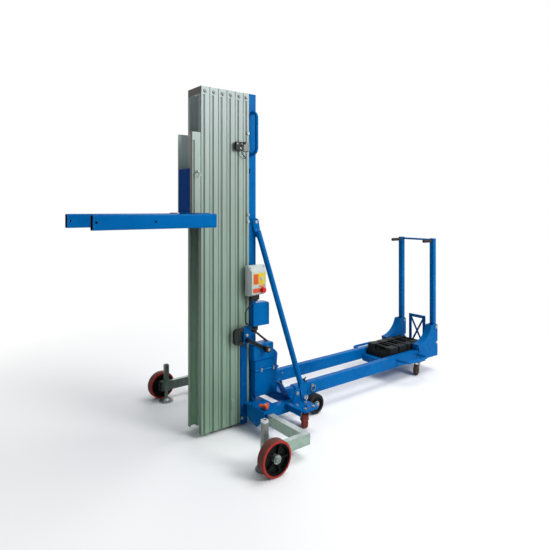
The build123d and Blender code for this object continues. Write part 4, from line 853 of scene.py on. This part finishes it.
lever = lever @ Matrix.Rotation(math.radians(LEVER_ANGLE), 4, "Y")
slab(bm, (-4, -3, -4), (LEVER_REACH + 2, 0.5, 4), round_by=1.2, turned_by=lever)
turn(bm, lever @ Vector((LEVER_REACH / 1000, 0, 0)), (0, -1, 0), ROLLER, steps=28)
build("switch_lever", "chassis", black, bm)
print("limit switch fitted at", round(switch_top), "mm")

# %% [markdown]
# Near its foot the third section carries a small cover over the rope anchor on each flank, held by two
# screws. Its faces are sorted from low to high, so that one line makes both the left and the right cover.

# %% Rope anchor covers
COVER_BACK, COVER_UP, COVER_OUT = (41.5, 66), (95, 160), (77.5, 81)
SCREW_IN = 10
section_foot = span("mast_section_3")[0]
cover_x = [section_foot.x + back for back in COVER_BACK]
cover_z = [section_foot.z + up for up in COVER_UP]
bm = bmesh.new()
for s in SIDES.values():
    inner, outer = sorted(s * out for out in COVER_OUT)
    slab(bm, (cover_x[0], inner, cover_z[0]), (cover_x[1], outer, cover_z[1]), round_by=1.6)
build("anchor_covers", "stage_3", alloy, bm)
bm = bmesh.new()
for s in SIDES.values():
    for z in (cover_z[0] + SCREW_IN, cover_z[1] - SCREW_IN):
        screw(bm, at(sum(cover_x) / 2, s * COVER_OUT[1], z), (0, s, 0), radius=3.4, height=2.4)
build("anchor_screws", "stage_3", zinc, bm)
print("anchor covers on section 3")

# %% [markdown]
# Where the chassis plugs onto the base, an over-centre latch sits on each beam: a plate, two ears, a pin and
# a lever that is tipped up about that pin.

# %% Beam latches
BEAM_MID = 154
LATCH_X, LEVER_TIP = 614, -32
PLATE_FROM, PLATE_TO, PLATE_HALF, PLATE_THICK = LATCH_X - 24, LATCH_X + 26, 11, 3
EAR_FROM, EAR_TO, EAR_HEIGHT = LATCH_X - 10, LATCH_X + 10, 19
EAR_SIDES, EAR_THICK = (-8, 4), 4
PIN_UP, PIN = 15, [(-10, 3), (10, 3)]
beam_end, _, beam_top = span("chassis_beam_left")[1]
plate_top = beam_top + PLATE_THICK
bm = bmesh.new()
for s in SIDES.values():
    mid = s * BEAM_MID
    slab(bm, (PLATE_FROM, mid - PLATE_HALF, beam_top - 0.5), (PLATE_TO, mid + PLATE_HALF, plate_top),
         round_by=1.0)
    for y in EAR_SIDES:
        slab(bm, (EAR_FROM, mid + y, plate_top), (EAR_TO, mid + y + EAR_THICK, plate_top + EAR_HEIGHT),
             round_by=1.2)
    pin = at(LATCH_X, mid, beam_top + PIN_UP)
    turn(bm, pin, (0, 1, 0), PIN, steps=20)
    lever = Matrix.Translation(pin) @ Matrix.Rotation(math.radians(LEVER_TIP), 4, "Y")
    slab(bm, (-10, -3.5, -3), (26, 3.5, 3), round_by=2.0, turned_by=lever)
build("beam_latches", "chassis", iron, bm)
print("a latch on each beam")

# %% [markdown]
# Plastic plugs close the open tube ends. A beam plug has a body inside the tube and a flange over its end:
# two slabs that overlap, which look the same as one stepped solid. An arm plug fills the front end of an
# outrigger.

# %% Tube plugs
BEAM_HALF, BEAM_HEIGHT = 25, 80
ARM_MID, ARM_HALF, ARM_HEIGHTS = 590, 15, (65, 125)
ARM_PLUG = (-28.5, -24.6)


def plug(bm, stations, mid, half, heights, inset, round_by):
    """Adds a slab that stays inside a tube's outline by the inset."""
    slab(bm, (stations[0], mid - half + inset, heights[0] + inset),
         (stations[1], mid + half - inset, heights[1] - inset), round_by)


beam_heights = (beam_top - BEAM_HEIGHT, beam_top)
bm = bmesh.new()
for s in SIDES.values():
    mid = s * BEAM_MID
    body, flange = (beam_end - 15, beam_end + 1.5), (beam_end - 0.4, beam_end + 4)
    plug(bm, body, mid, BEAM_HALF, beam_heights, inset=5.4, round_by=2.0)
    plug(bm, flange, mid, BEAM_HALF, beam_heights, inset=0.5, round_by=1.8)
build("beam_plugs", "chassis", black, bm)
for side, s in SIDES.items():
    bm = bmesh.new()
    plug(bm, ARM_PLUG, s * ARM_MID, ARM_HALF, ARM_HEIGHTS, inset=0.4, round_by=1.6)
    build("arm_plug_" + side, "outrigger_" + side, black, bm)
print("plugs in two beams and two arms")

# %% [markdown]
# The winch cover is a deep-drawn sheet hood. Four painted screws hold it and make it read as a cover that
# comes off.

# %% Winch cover screws
FROM_FRONT, FROM_REAR, FROM_FOOT, FROM_TOP = 18, 20, 14, 18
hood_low, hood_high = span("motor_cover")
bm = bmesh.new()
for x in (hood_low.x + FROM_FRONT, hood_high.x - FROM_REAR):
    for z in (hood_low.z + FROM_FOOT, hood_high.z - FROM_TOP):
        screw(bm, at(x, hood_low.y, z), (0, -1, 0), radius=2.6, height=2.0)
build("winch_cover_screws", "chassis", blue, bm)
print("four screws in the winch cover")

# %% [markdown]
# A pull ring on a short plunger locks the carriage to the front section. The ring is a bent wire, so it is
# swept as a torus that hangs from the plunger head. The star knobs get the pressed cap over their screw.

# %% Carriage plunger and knob caps
PLUNGER = [(-1, 11), (2, 11), (2, 8), (9, 7.4), (10, 6), (15, 6), (16, 5), (16, 0.4)]
PLUNGER_BACK, PLUNGER_UP = 43, 235
RING_OUT, RING_DOWN, RING_AXIS = 13, 15, (0, -0.92, 0.39)
KNOB_CAP = [(-1, 9.5), (1.5, 9.5), (3.5, 8), (4.2, 5), (4.2, 0.4)]
KNOB_X, KNOB_Y = 240, 240


def wire_ring(bm, centre, axis, radius, wire):
    """Adds a closed wire ring, sizes in millimetres."""
    swing = Vector((0, 0, 1)).rotation_difference(Vector(axis))
    rings = []
    for x, y in circle(36):
        section = [(radius + wire * c, wire * n) for c, n in circle(10)]
        points = [Vector((x * reach, y * reach, height)) / 1000 for reach, height in section]
        rings.append([bm.verts.new(Vector(centre) + swing @ point) for point in points])
    wrap(bm, rings, closed=True)


plate_front = span("carriage")[0]
x, y, z = plate_front.x + PLUNGER_BACK, plate_front.y, plate_front.z + PLUNGER_UP
bm = bmesh.new()
turn(bm, at(x, y, z), (0, -1, 0), PLUNGER)
wire_ring(bm, at(x, y - RING_OUT, z - RING_DOWN), RING_AXIS, radius=15, wire=2.2)
build("carriage_plunger", "carriage", zinc, bm)
for side, s in SIDES.items():
    bm = bmesh.new()
    turn(bm, at(KNOB_X, s * KNOB_Y, span("star_knob_" + side)[1].z), (0, 0, 1), KNOB_CAP, steps=28)
    build("knob_cap_" + side, "star_knob_" + side, zinc, bm)
print("plunger and knob caps fitted")

# %% [markdown]
# The battery box closes with a cover that sits on a rim, and a cap sits over the cover. Dark slabs set back
# behind the face run under the cap and under the rim as painted shade, and a lighter strip on the outer
# edge of the rim is a painted highlight. The strip and the slab under the rim leave room for the two clips.

# %% Battery box trim
RIM_HEIGHT, CAP_UP, CAP_END = 8, 58, 396
CAP_SHADE, RIM_SHADE, LAP = 6, 5.5, 0.2
SET_BACK, SHADE_EDGE = 1, 0.6
WALL_IN, CLIP_HALF, CLIP_ROOM = 5, 4.5, 6
tub, lid, clips = span("battery_tub"), span("battery_cover"), span("battery_clips")
box_front, cap_front, lid_rear = tub[0].x, lid[0].x, lid[1].x
rim_out, cap_out, box_in = tub[0].y, lid[0].y, span("battery")[1].y
seam = lid[0].z
shade_in = cap_out + WALL_IN + SET_BACK
cap_shade_band = (seam + CAP_UP - CAP_SHADE, seam + CAP_UP + LAP)
rim_shade_band = (seam - RIM_HEIGHT - RIM_SHADE, seam - RIM_HEIGHT + LAP)


def between_clips(start, end):
    near, far = clips[0].x + CLIP_HALF, clips[1].x - CLIP_HALF
    return (start, near - CLIP_ROOM), (near + CLIP_ROOM, far - CLIP_ROOM), (far + CLIP_ROOM, end)


bm = bmesh.new()
# Dark slabs under the cap and under the rim: painted shade.
cap_corner = (cap_front + SET_BACK, cap_out + SET_BACK, cap_shade_band[0])
slab(bm, cap_corner, (CAP_END, shade_in, cap_shade_band[1]), SHADE_EDGE)
slab(bm, cap_corner, (box_front + 2.5, box_in, cap_shade_band[1]), SHADE_EDGE)
for start, end in between_clips(box_front + 0.5, lid_rear + 2):
    slab(bm, (start, rim_out + SET_BACK, rim_shade_band[0]), (end, shade_in, rim_shade_band[1]), SHADE_EDGE)
slab(bm, (box_front + 0.3, rim_out + SET_BACK, rim_shade_band[0]), (box_front + 3, box_in, rim_shade_band[1]), SHADE_EDGE)
build("battery_painted_shadow_gaps", "chassis", shade_navy, bm)
bm = bmesh.new()
# A lighter strip on the outer edge of the rim: a painted highlight.
for start, end in between_clips(box_front - 0.2, lid_rear + 3.2):
    slab(bm, (start, rim_out - 0.6, seam - RIM_HEIGHT + 2), (end, rim_out + 3, seam + 0.4), round_by=0.8)
build("battery_rim_highlight", "chassis", highlight_blue, bm)
print("battery box from", round(box_front), "to", round(tub[1].x))

# %% [markdown]
# The struts are round tube pressed flat at both ends, where a bolt goes through. Between tube and flat the
# section changes smoothly, so each end gets a skin of rings that run from a circle to a flat oval.

# %% Pressed strut ends
TAB_R, HEAD_OUT, FOOT_OUT = 23, 49, 289
TUBE_R, FLAT_R, FLAT_T = 17.4, 23.2, 3.8
PRESS_FROM, PRESS_TO = 34, 118
strut_low, strut_high = span("struts")


def pressed_end(bm, pin, far, rings=14):
    """Adds the skin of one strut end; pin and far are the two bolt centres in millimetres."""
    run = (far - pin).normalized()
    wide = Vector((run.z, 0, -run.x)).normalized()
    thick = run.cross(wide)
    skin = []
    for i in range(rings + 1):
        part = i / rings
        ease = part * part * (3 - 2 * part)
        centre = pin + run * (PRESS_FROM + (PRESS_TO - PRESS_FROM) * part)
        centre.y = pin.y + (centre.y - pin.y) * ease
        half_w = FLAT_R + (TUBE_R - FLAT_R) * ease
        half_t = FLAT_T + (TUBE_R - FLAT_T) * ease
        power = 2 / (4 - 2 * ease)
        ring = []
        for c, n in circle(32):
            spot = centre + wide * half_w * math.copysign(abs(c) ** power, c)
            spot += thick * half_t * math.copysign(abs(n) ** power, n)
            ring.append(bm.verts.new(at(*spot)))
        skin.append(ring)
    wrap(bm, skin)


bm = bmesh.new()
for s in SIDES.values():
    head = Vector((strut_low.x + TAB_R, s * HEAD_OUT, strut_high.z - TAB_R))
    foot = Vector((strut_high.x - TAB_R, s * FOOT_OUT, strut_low.z + TAB_R))
    pressed_end(bm, head, foot)
    pressed_end(bm, foot, head)
build("pressed_strut_ends", "chassis", blue, bm)
print("four pressed strut ends")

# %% [markdown]
# A shallow painted cap closes the column tube. Low down on the bracket of the crank, one nut shows where the
# bridge handle is bolted on.

# %% Column cap and bracket nut
COLUMN_SIDE, CAP_IN, CAP_SUNK, CAP_HEIGHT = 80, 0.5, 2, 9
BRACKET_NUT = (206, -104, 548)
column_front, column_top = span("column")[0].x, span("column")[1].z
cap_half = COLUMN_SIDE / 2 - CAP_IN
bm = bmesh.new()
slab(bm, (column_front + CAP_IN, -cap_half, column_top - CAP_SUNK),
     (column_front + COLUMN_SIDE - CAP_IN, cap_half, column_top + CAP_HEIGHT), round_by=3.0)
build("column_cap", "chassis", blue, bm)
bm = bmesh.new()
hex_nut(bm, at(*BRACKET_NUT), (0, -1, 0), across_flats=15, height=7)
build("bracket_nut", "chassis", zinc, bm)
print("column cap on", round(column_top), "mm")

# %% [markdown]
# Rubber grips have moulded rings that stop a hand from slipping. They are turned in one go, over the plain
# sleeves of the CAD model, which they replace.

# %% Ribbed grips
RIBS, FIRST_GROOVE, RIB_PITCH = 12, 6, 8
GRIP_R, GROOVE_R = 12.5, 11.3
grip_start, grip_end = (corner.x for corner in span("handle_grips"))
length = grip_end - grip_start
profile = [(0, 8.1), (0, 12), (2, GRIP_R)]
for k in range(RIBS):
    x = FIRST_GROOVE + RIB_PITCH * k
    profile += [(x, GRIP_R), (x + 1.5, GROOVE_R), (x + 4, GROOVE_R), (x + 5.5, GRIP_R)]
profile += [(length - 5, GRIP_R), (length - 1.5, 10.5), (length, 7), (length, 0.4)]
bm = bmesh.new()
for s in SIDES.values():
    turn(bm, at(grip_end, s * POST_MID * 1000, middle("handle_grips").z), (-1, 0, 0), profile, steps=36)
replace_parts(build("ribbed_grips", "push_handle", rubber, bm), "handle_grips")
print("grips with", RIBS, "ribs each")

# %% [markdown]
# The floor is pale and takes the shadow of the hoist. Away from it the floor turns plain white to the camera
# and to mirrors, so that floor and surround meet without an edge.

# %% Floor
FLOOR_SIZE, FADE_FROM, FADE_TO = 60, 1.2, 3.0
bpy.ops.mesh.primitive_plane_add(size=FLOOR_SIZE, location=(0, 0, 0))
floor = bpy.context.object
floor.name = "floor"
ground = Finish("pale_floor")
ground.shade(Base_Color=ground.mix(ground.noise(1.2, detail=3), (0.90, 0.90, 0.90), (0.93, 0.93, 0.93)),
             Roughness=0.8)
reach = ground.node("ShaderNodeVectorMath", {"operation": "LENGTH"}, {0: ground.place()}, out="Value")
paper = ground.node("ShaderNodeEmission", {}, {"Color": (1, 1, 1)})
lit = Wire(ground, ground.shader.outputs[0])
ground.end_in(ground.background_rays() * ground.between(reach, FADE_FROM, FADE_TO), lit, paper)
floor.data.materials.append(ground.material)
print("floor", floor.dimensions[:2])
